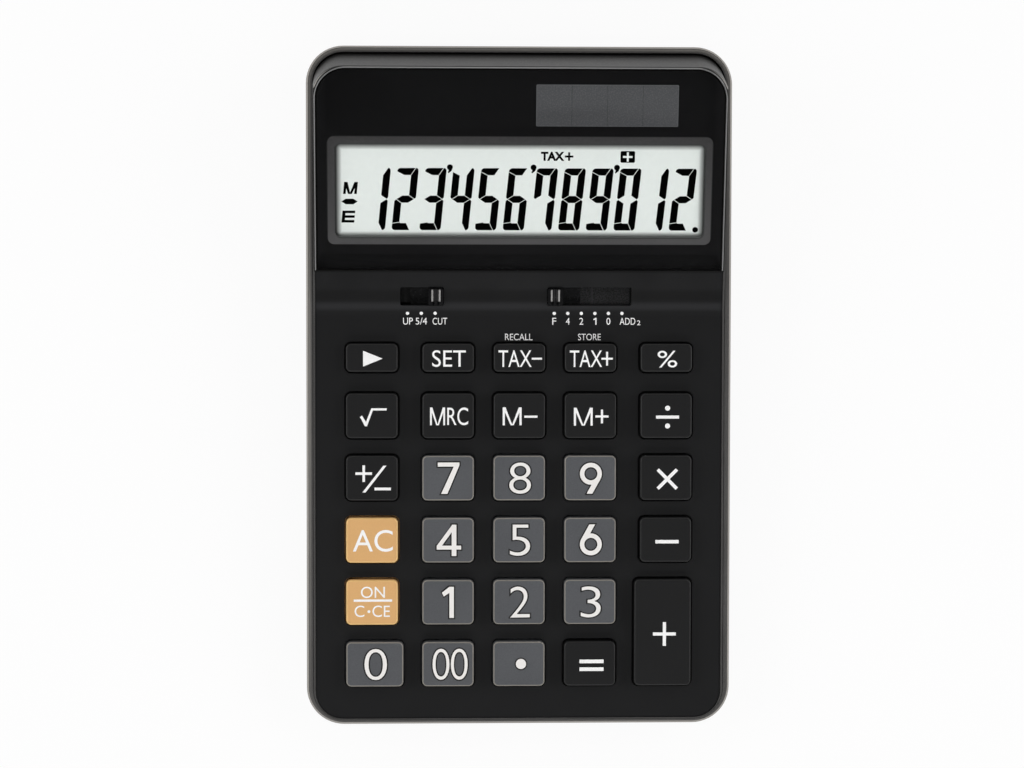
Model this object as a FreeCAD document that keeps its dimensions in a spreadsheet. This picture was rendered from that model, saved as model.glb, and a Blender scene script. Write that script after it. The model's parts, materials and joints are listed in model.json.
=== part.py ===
"""Desk calculator: a wedge-shaped case with a tilted display, 29 sprung keys and two slide switches.

The case stands on the plane z = 0 with its keypad front towards -Y and its display towards +Y.
Three frames share the X axis.  The case frame lies on the desk.  The deck frame lies on the keypad
surface, turned by deck_slope.  The display frame lies on the display surface, turned further by
display_tilt, with its origin on the line where the two surfaces meet.
"""
import FreeCAD
import Part
import math
import os
import Sketcher

SIZES = (
    ("width", 108.0, "overall width"),
    ("depth", 172.0, "overall depth, front edge to back edge"),
    ("corner_radius", 9.5, "corners of the case seen from above"),
    ("deck_slope", 4.0, "slope of the keypad surface, degrees"),
    ("deck_middle_height", 16.0, "height of the keypad surface halfway along"),
    ("display_tilt", 11.0, "display surface against the keypad surface, degrees"),
    ("bend_radius", 28.0, "hollow bend between the two surfaces"),
    ("display_length", 60.6, "display surface, bend line to crest"),
    ("back_lean", 3.93, "crest in front of the foot of the display housing's back"),
    ("crest_radius", 0.8, "rounding of the crest"),
    ("foot_height", 1.0, "gap between desk and case"),
    ("floor_thickness", 1.8, "floor of the rear case"),
    ("tub_wall", 1.6, "side and back walls of the rear case"),
    ("tub_front_wall", 1.0, "front wall of the rear case"),
    ("bottom_radius", 4.5, "rounding round the floor"),
    ("lip_bevel", 0.5, "bevel along the outer lip"),
    ("rim_rise", 0.3, "rim above the keypad surface"),
    ("parting_gap", 0.12, "gap between the two case halves"),
    ("rail_width", 0.5, "front case showing beside the panel"),
    ("front_rail_width", 0.25, "front case showing before the panel"),
    ("panel_clearance", 0.1, "panel in its recess, each side"),
    ("panel_thickness", 0.8, "keypad panel"),
    ("case_deck", 1.4, "front case under the panel"),
    ("case_wall", 1.2, "walls of the front case"),
    ("skirt_depth", 4.0, "front case below the keypad surface"),
    ("hump_inset", 0.5, "lean of the display housing's sides"),
    ("panel_corner", 7.0, "front corners of the panel"),
    ("panel_display_length", 8.9, "panel beyond the bend line"),
    ("lens_gap", 0.25, "joint between panel and lens"),
    ("lens_top_margin", 0.55, "lens edge to crest"),
    ("lens_side_margin", 0.48, "lens edge to the housing's side"),
    ("lens_corner", 7.5, "upper corners of the lens"),
    ("lens_low_corner", 0.6, "lower corners of the lens"),
    ("lens_thickness", 1.5, "display lens"),
    ("lens_edge", 0.4, "bevel along the lens's upper sides"),
    ("lens_rise", 0.2, "lens above the display surface"),
    ("mask_thickness", 0.1, "printed mask under the lens"),
    ("glass_below_crest", 31.45, "display window's centre from the crest"),
    ("bezel_margin", 2.7, "grey frame round the display to the lens's sides"),
    ("bezel_height", 27.65, "grey frame round the display, outside"),
    ("bezel_corner", 2.0, "grey frame, outside corners"),
    ("bezel_border", 2.0, "grey frame, width of its sides"),
    ("bezel_inner_corner", 1.4, "grey frame, inside corners"),
    ("bezel_clearance", 0.3, "grey frame in its opening, each side"),
    ("glass_ledge", 0.6, "display glass beyond its opening"),
    ("glass_thickness", 2.4, "display glass"),
    ("solar_margin", 29.6, "solar cell's centre to the lens's right side"),
    ("solar_below_crest", 9.85, "solar cell's centre from the crest"),
    ("solar_width", 35.7, "solar cell"),
    ("solar_height", 10.5, "solar cell"),
    ("solar_thickness", 1.1, "solar cell"),
    ("solar_clearance", 0.3, "solar cell in its opening, each side"),
    ("side_column_margin", 16.63, "outer key columns' centres to the case's sides"),
    ("side_column_shift", 1.23, "outer key columns further out than the middle ones' pitch"),
    ("column_gap", 4.97, "between the keys of the middle columns"),
    ("front_row_margin", 14.48, "front key row's centre to the front of the keypad surface"),
    ("low_row_margin", 13.35, "low key row's centre to the bend line"),
    ("low_row_shift", 1.1, "low key row nearer than the others' pitch"),
    ("row_gap", 4.43, "between the keys of the full rows"),
    ("low_key_length", 7.15, "key in the low row"),
    ("wide_key_extra", 1.4, "added width of the zero and plus keys"),
    ("key_corner", 1.3, "corners of a key"),
    ("key_edge", 0.45, "rounding of a key's upper edge"),
    ("key_rise", 2.4, "key above the keypad surface"),
    ("key_travel", 1.4, "stroke of a key"),
    ("key_clearance", 0.5, "key in its panel hole, each side"),
    ("case_hole_extra", 0.1, "hole in the case beyond the panel's, each side"),
    ("key_wall", 1.2, "walls and top of a key"),
    ("flange_width", 0.6, "key flange beyond the case hole"),
    ("flange_thickness", 0.8, "key flange"),
    ("flange_gap", 0.1, "key flange under the case at rest"),
    ("stroke_reserve", 0.3, "key flange above the mat when pressed"),
    ("plunger_diameter", 4.0, "plunger in the middle of a key"),
    ("dome_height", 2.0, "rubber dome above the mat"),
    ("dome_top_diameter", 3.6, "rubber dome"),
    ("dome_diameter", 8.0, "rubber dome"),
    ("mat_thickness", 0.5, "keypad mat"),
    ("mat_margin", 8.2, "mat before the centres of the front row"),
    ("mat_back_margin", 3.6, "mat behind the centres of the last posts"),
    ("board_thickness", 1.2, "circuit board"),
    ("board_side_gap", 1.1, "circuit board to the screw bosses beside it"),
    ("board_margin", 9.0, "circuit board before the centres of the front row"),
    ("board_overhang", 1.6, "circuit board behind the display connector"),
    ("board_corner", 2.0, "circuit board's corners"),
    ("post_diameter", 3.0, "posts that carry the board"),
    ("post_clearance", 0.35, "posts through the mat"),
    ("small_screw_diameter", 1.6, "board and cover screws"),
    ("small_head_diameter", 3.0, "board and cover screws"),
    ("small_head_height", 1.0, "board and cover screws"),
    ("small_screw_length", 4.0, "board and cover screws, under the head"),
    ("boss_diameter", 5.0, "case screw bosses"),
    ("boss_bottom", 6.0, "boss ends below the keypad surface"),
    ("boss_side_margin", 6.0, "case screws to the case's sides"),
    ("boss_front_margin", 6.7, "front case screws to the front of the keypad surface"),
    ("boss_bend_margin", 4.6, "middle case screws and last posts in front of the bend line"),
    ("boss_back_margin", 7.6, "back case screws to the foot of the display housing's back"),
    ("pillar_diameter", 6.6, "screw pillars of the rear case"),
    ("pillar_seat", 1.2, "pillar above a screw head"),
    ("screw_diameter", 2.3, "case screws"),
    ("head_diameter", 4.6, "case screws"),
    ("head_height", 1.5, "case screws"),
    ("screw_length", 5.0, "case screws, under the head"),
    ("bore_clearance", 0.1, "round a screw in its bore"),
    ("head_clearance", 0.3, "round a screw head"),
    ("slider_y", 2.2, "slide switches, along the display"),
    ("slot_height", 4.75, "slide switch slots"),
    ("slot_corner", 0.5, "slide switch slots"),
    ("slot_end_clearance", 0.15, "knob to the end of its slot"),
    ("slot_side_clearance", 0.25, "knob to the side of its slot"),
    ("knob_width", 3.8, "slide switch knob"),
    ("knob_rise", 0.9, "slide switch knob above the surface"),
    ("knob_groove", 0.5, "grooves across a knob"),
    ("carrier_width", 13.0, "slide switch carrier"),
    ("carrier_height", 8.0, "slide switch carrier"),
    ("carrier_thickness", 0.8, "slide switch carrier"),
    ("carrier_gap", 0.1, "carrier under the case"),
    ("wiper_width", 2.4, "slide switch contact"),
    ("wiper_reach", 1.9, "slide switch contact below its carrier"),
    ("wiper_thickness", 0.3, "slide switch contact"),
    ("rounding_x", -21.15, "left knob at rest"),
    ("rounding_step", 3.5, "left switch"),
    ("rounding_steps", 2, "left switch"),
    ("decimal_x", 9.15, "right knob at rest"),
    ("decimal_step", 3.47, "right switch"),
    ("decimal_steps", 5, "right switch"),
    ("chip_diameter", 13.0, "sealed controller under the board"),
    ("chip_height", 1.4, "sealed controller under the board"),
    ("chip_shoulder_width", 10.4, "sealed controller where its side turns in"),
    ("chip_shoulder_height", 1.0, "sealed controller where its side turns in"),
    ("chip_crown_width", 5.2, "flat middle of the sealed controller"),
    ("chip_reach", 7.2, "sealed controller's centre behind the bend line"),
    ("strip_below_crest", 44.2, "display connector strip from the crest, along the keypad"),
    ("strip_depth", 2.2, "display connector strip"),
    ("strip_inset", 0.4, "display connector strip to the board's sides"),
    ("cell_side_margin", 28.0, "button cell's centre to the case's left side"),
    ("cell_back_margin", 36.0, "button cell's centre to the case's back"),
    ("cell_diameter", 11.6, "button cell"),
    ("cell_height", 5.4, "button cell"),
    ("cell_can_height", 4.05, "wide part of the button cell"),
    ("cell_cap_diameter", 10.0, "narrow part of the button cell"),
    ("well_width", 24.0, "battery well, inside"),
    ("well_depth", 16.0, "battery well, inside"),
    ("well_roof", 9.2, "battery well's ceiling above the desk"),
    ("well_wall", 1.2, "battery well"),
    ("cover_ledge", 2.0, "ledge under the battery cover"),
    ("cover_thickness", 1.0, "battery cover"),
    ("cover_corner", 1.5, "battery cover"),
    ("cover_clearance", 0.15, "battery cover in its opening, each side"),
    ("contact_thickness", 0.3, "battery contacts"),
    ("contact_width", 4.0, "battery contacts"),
    ("foot_side_margin", 14.0, "rubber feet to the case's sides"),
    ("foot_end_margin", 20.0, "rubber feet to the case's front and back"),
    ("foot_diameter", 8.0, "rubber feet"),
    ("foot_recess", 0.6, "rubber feet sunk in the floor"),
    ("foot_edge", 0.3, "rounding of a foot's lower edge"),
    ("foot_clearance", 0.15, "rubber feet in their recess"),
)

document = FreeCAD.newDocument("desk_calculator")


class Size:
    """A length or an angle: its value, and the expression on the sheet that gives it."""

    def __init__(self, value, text):
        self.value = float(value)
        self.text = text

    @staticmethod
    def of(thing):
        """A size made from a size or from a plain number."""
        return thing if isinstance(thing, Size) else Size(thing, repr(thing))

    def __add__(self, other):
        other = Size.of(other)
        return Size(self.value + other.value, "(" + self.text + " + " + other.text + ")")

    def __sub__(self, other):
        other = Size.of(other)
        return Size(self.value - other.value, "(" + self.text + " - " + other.text + ")")

    def __mul__(self, other):
        other = Size.of(other)
        return Size(self.value * other.value, self.text + " * " + other.text)

    def __truediv__(self, other):
        other = Size.of(other)
        return Size(self.value / other.value, self.text + " / (" + other.text + ")")

    def __neg__(self):
        return Size(-self.value, "(0 - " + self.text + ")")

    def __rsub__(self, other):
        return Size.of(other) - self

    __radd__ = __add__
    __rmul__ = __mul__


def sine(angle):
    """Sine of an angle in degrees."""
    return Size(math.sin(math.radians(angle.value)), "sin(" + angle.text + ")")


def cosine(angle):
    """Cosine of an angle in degrees."""
    return Size(math.cos(math.radians(angle.value)), "cos(" + angle.text + ")")


def tangent(angle):
    """Tangent of an angle in degrees."""
    return Size(math.tan(math.radians(angle.value)), "tan(" + angle.text + ")")


class Sizes:
    """The sheet of driving dimensions, each read as an attribute."""

    def __init__(self, rows):
        sheet = document.addObject("Spreadsheet::Sheet", "sizes")
        for number, (alias, value, note) in enumerate(rows, start=1):
            sheet.set("A%d" % number, alias)
            sheet.set("B%d" % number, str(value))
            sheet.set("C%d" % number, note)
            sheet.setAlias("B%d" % number, alias)
        document.recompute()
        for alias, value, note in rows:
            setattr(self, alias, Size(sheet.get(alias), "sizes." + alias))


s = Sizes(SIZES)

ZERO = Size(0, "0")
TOUCH = 1e-6
CLOSE = 1e-3
UNDER = s.panel_thickness + s.case_deck
FRONT_END = -(s.depth / 2 - s.tub_front_wall - s.parting_gap) / cosine(s.deck_slope)
BACK_END = (s.depth / 2 - s.tub_wall - s.parting_gap
            - s.skirt_depth * sine(s.deck_slope)) / cosine(s.deck_slope)
BEND_LINE = BACK_END - s.back_lean - s.display_length * cosine(s.display_tilt)
SIDE_COLUMN = s.width / 2 - s.side_column_margin
COLUMN_PITCH = (SIDE_COLUMN - s.side_column_shift) / 2
KEY_WIDTH = COLUMN_PITCH - s.column_gap
FIRST_ROW = FRONT_END + s.front_row_margin
LOW_ROW = BEND_LINE - s.low_row_margin
ROW_PITCH = (LOW_ROW - FIRST_ROW + s.low_row_shift) / 5
KEY_LENGTH = ROW_PITCH - s.row_gap
BOSS_X = s.width / 2 - s.boss_side_margin
BOSS_ROWS = (FRONT_END + s.boss_front_margin, BEND_LINE - s.boss_bend_margin, BACK_END - s.boss_back_margin)
BOARD_WIDTH = 2 * (BOSS_X - s.boss_diameter / 2 - s.board_side_gap)
FRONT_CASE_WIDTH = s.width - 2 * (s.tub_wall + s.parting_gap)
FRONT_CASE_CORNER = s.corner_radius - s.tub_wall - s.parting_gap
PANEL_WIDTH = FRONT_CASE_WIDTH - 2 * (s.rail_width + s.panel_clearance)
PANEL_FRONT = FRONT_END + s.front_rail_width + s.panel_clearance
FLANGE_TOP = UNDER + s.flange_gap
FLANGE_BOTTOM = FLANGE_TOP + s.flange_thickness
MAT_TOP = FLANGE_BOTTOM + s.key_travel + s.stroke_reserve
BOARD_TOP = MAT_TOP + s.mat_thickness
BOARD_BOTTOM = BOARD_TOP + s.board_thickness
LENS_BOTTOM = s.lens_thickness - s.lens_rise
LENS_SEAT = LENS_BOTTOM + s.mask_thickness
LENS_FRONT = s.panel_display_length + s.lens_gap
LENS_BACK = s.display_length - s.lens_top_margin
LENS_WIDTH = FRONT_CASE_WIDTH - 2 * (s.hump_inset + s.lens_side_margin)
GLASS_TOP = UNDER
GLASS_BOTTOM = GLASS_TOP + s.glass_thickness
GLASS_Y = s.display_length - s.glass_below_crest
STRIP_FRONT = BEND_LINE + s.display_length - s.strip_below_crest
STRIP_BACK = STRIP_FRONT + s.strip_depth
BOARD_END = STRIP_BACK + s.board_overhang
BEZEL_WIDTH = LENS_WIDTH - 2 * s.bezel_margin
OPENING_WIDTH = BEZEL_WIDTH + 2 * s.bezel_clearance
OPENING_HEIGHT = s.bezel_height + 2 * s.bezel_clearance
SOLAR_X = LENS_WIDTH / 2 - s.solar_margin
SOLAR_Y = s.display_length - s.solar_below_crest
FLOOR_TOP = s.foot_height + s.floor_thickness
CELL_X = s.cell_side_margin - s.width / 2
CELL_Y = s.depth / 2 - s.cell_back_margin
FOOT_X = s.width / 2 - s.foot_side_margin
FOOT_Y = s.depth / 2 - s.foot_end_margin


class Frame:
    """A frame turned about X: the place of its origin and its angle, in the case frame."""

    def __init__(self, y, z, angle):
        self.y = y
        self.z = z
        self.angle = angle

    def outside(self, y, z):
        """The case frame's Y and Z of a point of this frame."""
        case_y = self.y + y * cosine(self.angle) - z * sine(self.angle)
        case_z = self.z + y * sine(self.angle) + z * cosine(self.angle)
        return case_y, case_z

    def place(self, piece, x=ZERO, y=ZERO, z=ZERO):
        """Puts a piece's own origin at a point of this frame, turned with the frame."""
        case_y, case_z = self.outside(y, z)
        spin = FreeCAD.Rotation(FreeCAD.Vector(1, 0, 0), self.angle.value)
        piece.Placement = FreeCAD.Placement(FreeCAD.Vector(x.value, case_y.value, case_z.value), spin)
        piece.setExpression("Placement.Base.x", x.text)
        piece.setExpression("Placement.Base.y", case_y.text)
        piece.setExpression("Placement.Base.z", case_z.text)
        piece.setExpression("Placement.Rotation.Angle", self.angle.text)


CASE = Frame(ZERO, ZERO, ZERO)
DECK = Frame(ZERO, s.deck_middle_height, s.deck_slope)
DISPLAY = Frame(*DECK.outside(BEND_LINE, ZERO), s.deck_slope + s.display_tilt)


def on_deck(y, z):
    """The deck frame's Y and Z of a point of the display frame."""
    deck_y = BEND_LINE + y * cosine(s.display_tilt) - z * sine(s.display_tilt)
    deck_z = y * sine(s.display_tilt) + z * cosine(s.display_tilt)
    return deck_y, deck_z


def new_body(label, frame=CASE, x=ZERO, y=ZERO, z=ZERO):
    """An empty body in a frame."""
    body = document.addObject("PartDesign::Body", label)
    body.Label = label
    body.AllowCompound = True
    frame.place(body, x, y, z)
    return body


def origin_part(body, role):
    """One of a body's own origin planes or axes."""
    return next(part for part in body.Origin.OriginFeatures if part.Role == role)


def new_sketch(body, plane, x=ZERO, y=ZERO, z=ZERO):
    """A sketch on an origin plane of its body, with its own origin at a point of the body."""
    offsets = {"XY_Plane": (x, y, z), "XZ_Plane": (x, z, -y), "YZ_Plane": (y, z, x)}[plane]
    sketch = body.newObject("Sketcher::SketchObject", body.Label + "_sketch")
    sketch.AttachmentSupport = [(origin_part(body, plane), "")]
    sketch.MapMode = "FlatFace"
    for axis, offset in zip("xyz", offsets):
        sketch.setExpression("AttachmentOffset.Base." + axis, offset.text)
    return sketch


def hold(sketch, kind, first, second, size, name):
    """A dimension between two points of a sketch, bound to a size."""
    constraint = Sketcher.Constraint(kind, *first, *second, size.value)
    constraint.Name = name
    sketch.addConstraint(constraint)
    sketch.setExpression("Constraints." + name, size.text)


def rectangle(sketch, width, length, corner):
    """A rectangle with round corners about the sketch's origin."""
    x, y, r = width.value / 2, length.value / 2, corner.value
    up = FreeCAD.Vector(0, 0, 1)
    quarter = math.pi / 2
    sides = []
    for turn, (long, short) in enumerate(((x, y), (y, x), (x, y), (y, x))):
        spin = FreeCAD.Rotation(up, 90 * turn)
        start = spin.multVec(FreeCAD.Vector(r - long, -short, 0))
        end = spin.multVec(FreeCAD.Vector(long - r, -short, 0))
        centre = spin.multVec(FreeCAD.Vector(long - r, r - short, 0))
        sides.append(Part.LineSegment(start, end))
        sides.append(Part.ArcOfCircle(Part.Circle(centre, up, r), (turn - 1) * quarter, turn * quarter))
    sketch.addGeometry(sides, False)
    rules = [Sketcher.Constraint("Tangent", n, 2, (n + 1) % 8, 1) for n in range(8)]
    rules += [Sketcher.Constraint("Horizontal", 0), Sketcher.Constraint("Horizontal", 4)]
    rules += [Sketcher.Constraint("Vertical", 2), Sketcher.Constraint("Vertical", 6)]
    rules += [Sketcher.Constraint("Equal", n, n + 2) for n in (1, 3, 5)]
    sketch.addConstraint(rules)
    origin = (-1, 1)
    hold(sketch, "DistanceX", origin, (2, 1), width / 2, "right")
    hold(sketch, "DistanceX", (6, 1), origin, width / 2, "left")
    hold(sketch, "DistanceY", origin, (4, 1), length / 2, "back")
    hold(sketch, "DistanceY", (0, 1), origin, length / 2, "front")
    hold(sketch, "Radius", (1,), (), corner, "corner")


def disc(sketch, diameter):
    """A circle about the sketch's origin."""
    up = FreeCAD.Vector(0, 0, 1)
    sketch.addGeometry(Part.Circle(FreeCAD.Vector(0, 0, 0), up, diameter.value / 2), False)
    sketch.addConstraint(Sketcher.Constraint("Coincident", 0, 3, -1, 1))
    hold(sketch, "Diameter", (0,), (), diameter, "diameter")


def polygon(sketch, points):
    """A closed outline through points, each point held by its own two sizes."""
    corners = [FreeCAD.Vector(x.value, y.value, 0) for x, y in points]
    count = len(points)
    sketch.addGeometry([Part.LineSegment(corners[n], corners[(n + 1) % count]) for n in range(count)], False)
    sketch.addConstraint([Sketcher.Constraint("Coincident", n, 2, (n + 1) % count, 1) for n in range(count)])
    for n, (x, y) in enumerate(points):
        for kind, axis, size in (("DistanceX", -2, x), ("DistanceY", -1, y)):
            if size is ZERO:
                sketch.addConstraint(Sketcher.Constraint("PointOnObject", n, 1, axis))
            else:
                hold(sketch, kind, (-1, 1), (n, 1), size, "%s_%d" % (kind, n))


def add_feature(body, kind, sketch, length=None, symmetric=False, backwards=False, taper=None):
    """A pad or a pocket; without a length a pocket goes through all."""
    feature = body.newObject("PartDesign::" + kind, body.Label + "_" + kind.lower())
    feature.Profile = sketch
    feature.Reversed = backwards
    if symmetric:
        feature.Midplane = True
    if length is None:
        feature.Type = "ThroughAll"
    else:
        feature.setExpression("Length", length.text)
    if taper is not None:
        feature.setExpression("TaperAngle", taper.text)
    body.Tip = feature
    return feature


def turned(body, points, x=ZERO, y=ZERO, z=ZERO, kind="Revolution"):
    """An outline of radii and heights, turned about a line along the body's Z."""
    sketch = new_sketch(body, "XZ_Plane", x, y, z)
    polygon(sketch, points)
    feature = body.newObject("PartDesign::" + kind, body.Label + "_turned")
    feature.Profile = sketch
    feature.ReferenceAxis = (sketch, ["V_Axis"])
    feature.Angle = 360
    body.Tip = feature
    return feature


def repeat(body, feature, columns, column_pitch, rows=1, row_pitch=ZERO):
    """Copies of a feature in columns along X and rows along Y."""
    if columns * rows == 1:
        return feature
    pattern = body.newObject("PartDesign::LinearPattern", body.Label + "_pattern")
    pattern.Originals = [feature]
    first, second = ("X_Axis", "Y_Axis") if columns > 1 else ("Y_Axis", "X_Axis")
    count, pitch = (columns, column_pitch) if columns > 1 else (rows, row_pitch)
    pattern.Direction = (origin_part(body, first), [""])
    pattern.setExpression("Length", (pitch * (count - 1)).text)
    pattern.Occurrences = count
    if columns > 1 and rows > 1:
        pattern.Direction2 = (origin_part(body, second), [""])
        pattern.setExpression("Length2", (row_pitch * (rows - 1)).text)
        pattern.Occurrences2 = rows
    body.Tip = pattern
    return pattern


def round_edges(body, radius, wanted, kind="Fillet"):
    """Rounds or bevels the edges of a body's tip that a test picks."""
    document.recompute()
    base = body.Tip
    names = []
    for number, edge in enumerate(base.Shape.Edges, start=1):
        if wanted(edge):
            names.append("Edge%d" % number)
    if not names:
        raise ValueError("no edge to round on " + body.Label)
    feature = body.newObject("PartDesign::" + kind, body.Label + "_" + kind.lower())
    feature.Base = (base, names)
    feature.setExpression("Radius" if kind == "Fillet" else "Size", radius.text)
    body.Tip = feature
    return feature


def combine(kind, label, pieces):
    """A boolean of two pieces, or a fuse of several."""
    result = document.addObject("Part::" + kind, label)
    result.Label = label
    if kind == "MultiFuse":
        result.Shapes = pieces
    else:
        result.Base, result.Tool = pieces
    return result


def runs_along(edge, axis):
    """Whether an edge is a straight line along one axis of its body."""
    box = edge.BoundBox
    span = {"x": box.XLength, "y": box.YLength, "z": box.ZLength}[axis]
    return edge.Curve.TypeId == "Part::GeomLine" and abs(span - edge.Length) < TOUCH


# ---- keys: seven groups share the panel's holes, the case's holes, the mat's domes and the caps ----

class KeyGroup:
    """Keys of one size in evenly spaced columns and rows, the first one front left."""

    def __init__(self, names, x, y, columns, rows, pitch, width, length):
        self.names = names
        self.x = x
        self.y = y
        self.columns = columns
        self.rows = rows
        self.pitch = pitch
        self.width = width
        self.length = length

    def places(self):
        """Each key's name and centre."""
        for number, name in enumerate(self.names):
            column = number % self.columns
            row = number // self.columns
            yield name, self.x + column * self.pitch, self.y + row * ROW_PITCH


WIDE_KEY = KEY_WIDTH + s.wide_key_extra
WIDE_KEY_X = SIDE_COLUMN - s.wide_key_extra / 2
KEY_GROUPS = (
    KeyGroup(("double_zero", "point", "equals", "one", "two", "three", "four", "five", "six",
              "seven", "eight", "nine", "memory_recall", "memory_minus", "memory_plus"),
             -COLUMN_PITCH, FIRST_ROW, 3, 5, COLUMN_PITCH, KEY_WIDTH, KEY_LENGTH),
    KeyGroup(("on_clear", "all_clear", "sign", "root"),
             -SIDE_COLUMN, FIRST_ROW + ROW_PITCH, 1, 4, COLUMN_PITCH, KEY_WIDTH, KEY_LENGTH),
    KeyGroup(("minus", "times", "divide"),
             SIDE_COLUMN, FIRST_ROW + 2 * ROW_PITCH, 1, 3, COLUMN_PITCH, KEY_WIDTH, KEY_LENGTH),
    KeyGroup(("set", "tax_minus", "tax_plus"),
             -COLUMN_PITCH, LOW_ROW, 3, 1, COLUMN_PITCH, KEY_WIDTH, s.low_key_length),
    KeyGroup(("backspace", "percent"),
             -SIDE_COLUMN, LOW_ROW, 2, 1, 2 * SIDE_COLUMN, KEY_WIDTH, s.low_key_length),
    KeyGroup(("zero",), -WIDE_KEY_X, FIRST_ROW, 1, 1, ZERO, WIDE_KEY, KEY_LENGTH),
    KeyGroup(("plus",), WIDE_KEY_X, FIRST_ROW + ROW_PITCH / 2, 1, 1, ZERO, WIDE_KEY,
             KEY_LENGTH + ROW_PITCH),
)


def at_each_key(body, make):
    """Makes a feature for the first key of each group and repeats it over the group."""
    for group in KEY_GROUPS:
        repeat(body, make(group), group.columns, group.pitch, group.rows, ROW_PITCH)


def key_openings(label, clearance, bottom, top):
    """A tool that cuts every key hole, larger than the keys by a clearance."""
    body = new_body(label, DECK)

    def hole(group):
        sketch = new_sketch(body, "XY_Plane", group.x, group.y, bottom)
        rectangle(sketch, group.width + 2 * clearance, group.length + 2 * clearance, s.key_corner + clearance)
        return add_feature(body, "Pad", sketch, top - bottom)

    at_each_key(body, hole)
    return body


def make_key(name, x, y, width, length):
    """A key cap: hollow, open below, with a retaining flange and a plunger in its middle."""
    body = new_body("key_" + name, DECK, x, y)
    skirt = new_sketch(body, "XY_Plane", z=-FLANGE_BOTTOM)
    rectangle(skirt, width, length, s.key_corner)
    add_feature(body, "Pad", skirt, FLANGE_BOTTOM + s.key_rise)
    top = s.key_rise.value
    round_edges(body, s.key_edge, lambda edge: edge.BoundBox.ZMin > top - TOUCH)
    flange = new_sketch(body, "XY_Plane", z=-FLANGE_BOTTOM)
    reach = 2 * (s.key_clearance + s.case_hole_extra + s.flange_width)
    rectangle(flange, width + reach, length + reach, s.key_corner + reach / 2)
    add_feature(body, "Pad", flange, s.flange_thickness)
    inside = new_sketch(body, "XY_Plane", z=-FLANGE_BOTTOM)
    corner = s.key_corner - s.key_wall / 2
    rectangle(inside, width - 2 * s.key_wall, length - 2 * s.key_wall, corner)
    add_feature(body, "Pocket", inside, FLANGE_BOTTOM + s.key_rise - s.key_wall, backwards=True)
    plunger_bottom = s.dome_height - MAT_TOP
    plunger = new_sketch(body, "XY_Plane", z=plunger_bottom)
    disc(plunger, s.plunger_diameter)
    add_feature(body, "Pad", plunger, s.key_rise - s.key_wall / 2 - plunger_bottom)
    return body


def make_keys():
    """All key caps."""
    return [make_key(name, x, y, group.width, group.length)
            for group in KEY_GROUPS for name, x, y in group.places()]


def make_mat():
    """The rubber mat under the keys, with a dome for each key and holes for the board's posts."""
    mat = new_body("keypad_mat", DECK)
    front = FIRST_ROW - s.mat_margin
    back = BOSS_ROWS[1] + s.mat_back_margin
    sheet = new_sketch(mat, "XY_Plane", y=(front + back) / 2, z=-BOARD_TOP)
    rectangle(sheet, BOARD_WIDTH, back - front, s.board_corner)
    add_feature(mat, "Pad", sheet, s.mat_thickness)
    top = s.dome_top_diameter / 2
    foot = s.dome_diameter / 2

    def dome(group):
        outline = ((ZERO, ZERO), (foot, ZERO), (top, s.dome_height), (ZERO, s.dome_height))
        y = group.y
        return turned(mat, outline, group.x, y, -MAT_TOP)

    at_each_key(mat, dome)
    for rows, y, pitch in post_rows():
        hole = new_sketch(mat, "XY_Plane", x=-COLUMN_PITCH / 2, y=y, z=-BOARD_TOP)
        disc(hole, s.post_diameter + 2 * s.post_clearance)
        drill = add_feature(mat, "Pocket", hole, s.mat_thickness, backwards=True)
        repeat(mat, drill, 2, COLUMN_PITCH, rows, pitch)
    return mat


# ---- keypad panel and front case ----

def panel_outline(top, clearance):
    """Side view of the keypad panel, bent up where the display begins."""
    half = s.display_tilt / 2
    end = s.panel_display_length + clearance
    low = -s.panel_thickness
    return (
        (PANEL_FRONT - clearance, low),
        (BEND_LINE - low * tangent(half), low),
        on_deck(end, low),
        on_deck(end, top),
        (BEND_LINE - top * tangent(half), top),
        (PANEL_FRONT - clearance, top),
    )


def panel_block(label, top, clearance):
    """The panel without its holes, or the recess it lies in."""
    body = new_body(label, DECK)
    side = new_sketch(body, "YZ_Plane")
    polygon(side, panel_outline(top, clearance))
    add_feature(body, "Pad", side, PANEL_WIDTH + 2 * clearance, symmetric=True)
    front = (PANEL_FRONT - clearance).value
    width = (PANEL_WIDTH + 2 * clearance).value
    round_edges(body, s.panel_corner,
                lambda edge: runs_along(edge, "z") and edge.BoundBox.YMax < front + TOUCH)
    bend = BEND_LINE.value

    def across_the_bend(edge):
        return runs_along(edge, "x") and edge.Length > width - CLOSE and abs(edge.BoundBox.YMin - bend) < 1

    round_edges(body, s.bend_radius, across_the_bend)
    return body


def slider_slots(label, extra):
    """A tool that cuts both slots of the slide switches."""
    body = new_body(label, DISPLAY)
    for knob_x, travel in ((s.rounding_x, -s.rounding_steps * s.rounding_step),
                           (s.decimal_x, s.decimal_steps * s.decimal_step)):
        length = s.knob_width + 2 * (s.slot_end_clearance + extra)
        length = length + (travel if travel.value > 0 else -travel)
        slot = new_sketch(body, "XY_Plane", knob_x + travel / 2, s.slider_y, -2 * UNDER)
        rectangle(slot, length, s.slot_height + 2 * extra, s.slot_corner)
        add_feature(body, "Pad", slot, 4 * UNDER)
    return body


def make_panel():
    """The black keypad panel."""
    panel = panel_block("panel_blank", ZERO, ZERO)
    holes = key_openings("panel_key_holes", s.key_clearance, -2 * s.panel_thickness, s.panel_thickness)
    tools = combine("MultiFuse", "panel_cutters", [holes, slider_slots("panel_slots", ZERO)])
    return combine("Cut", "keypad_panel", [panel, tools])


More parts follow.
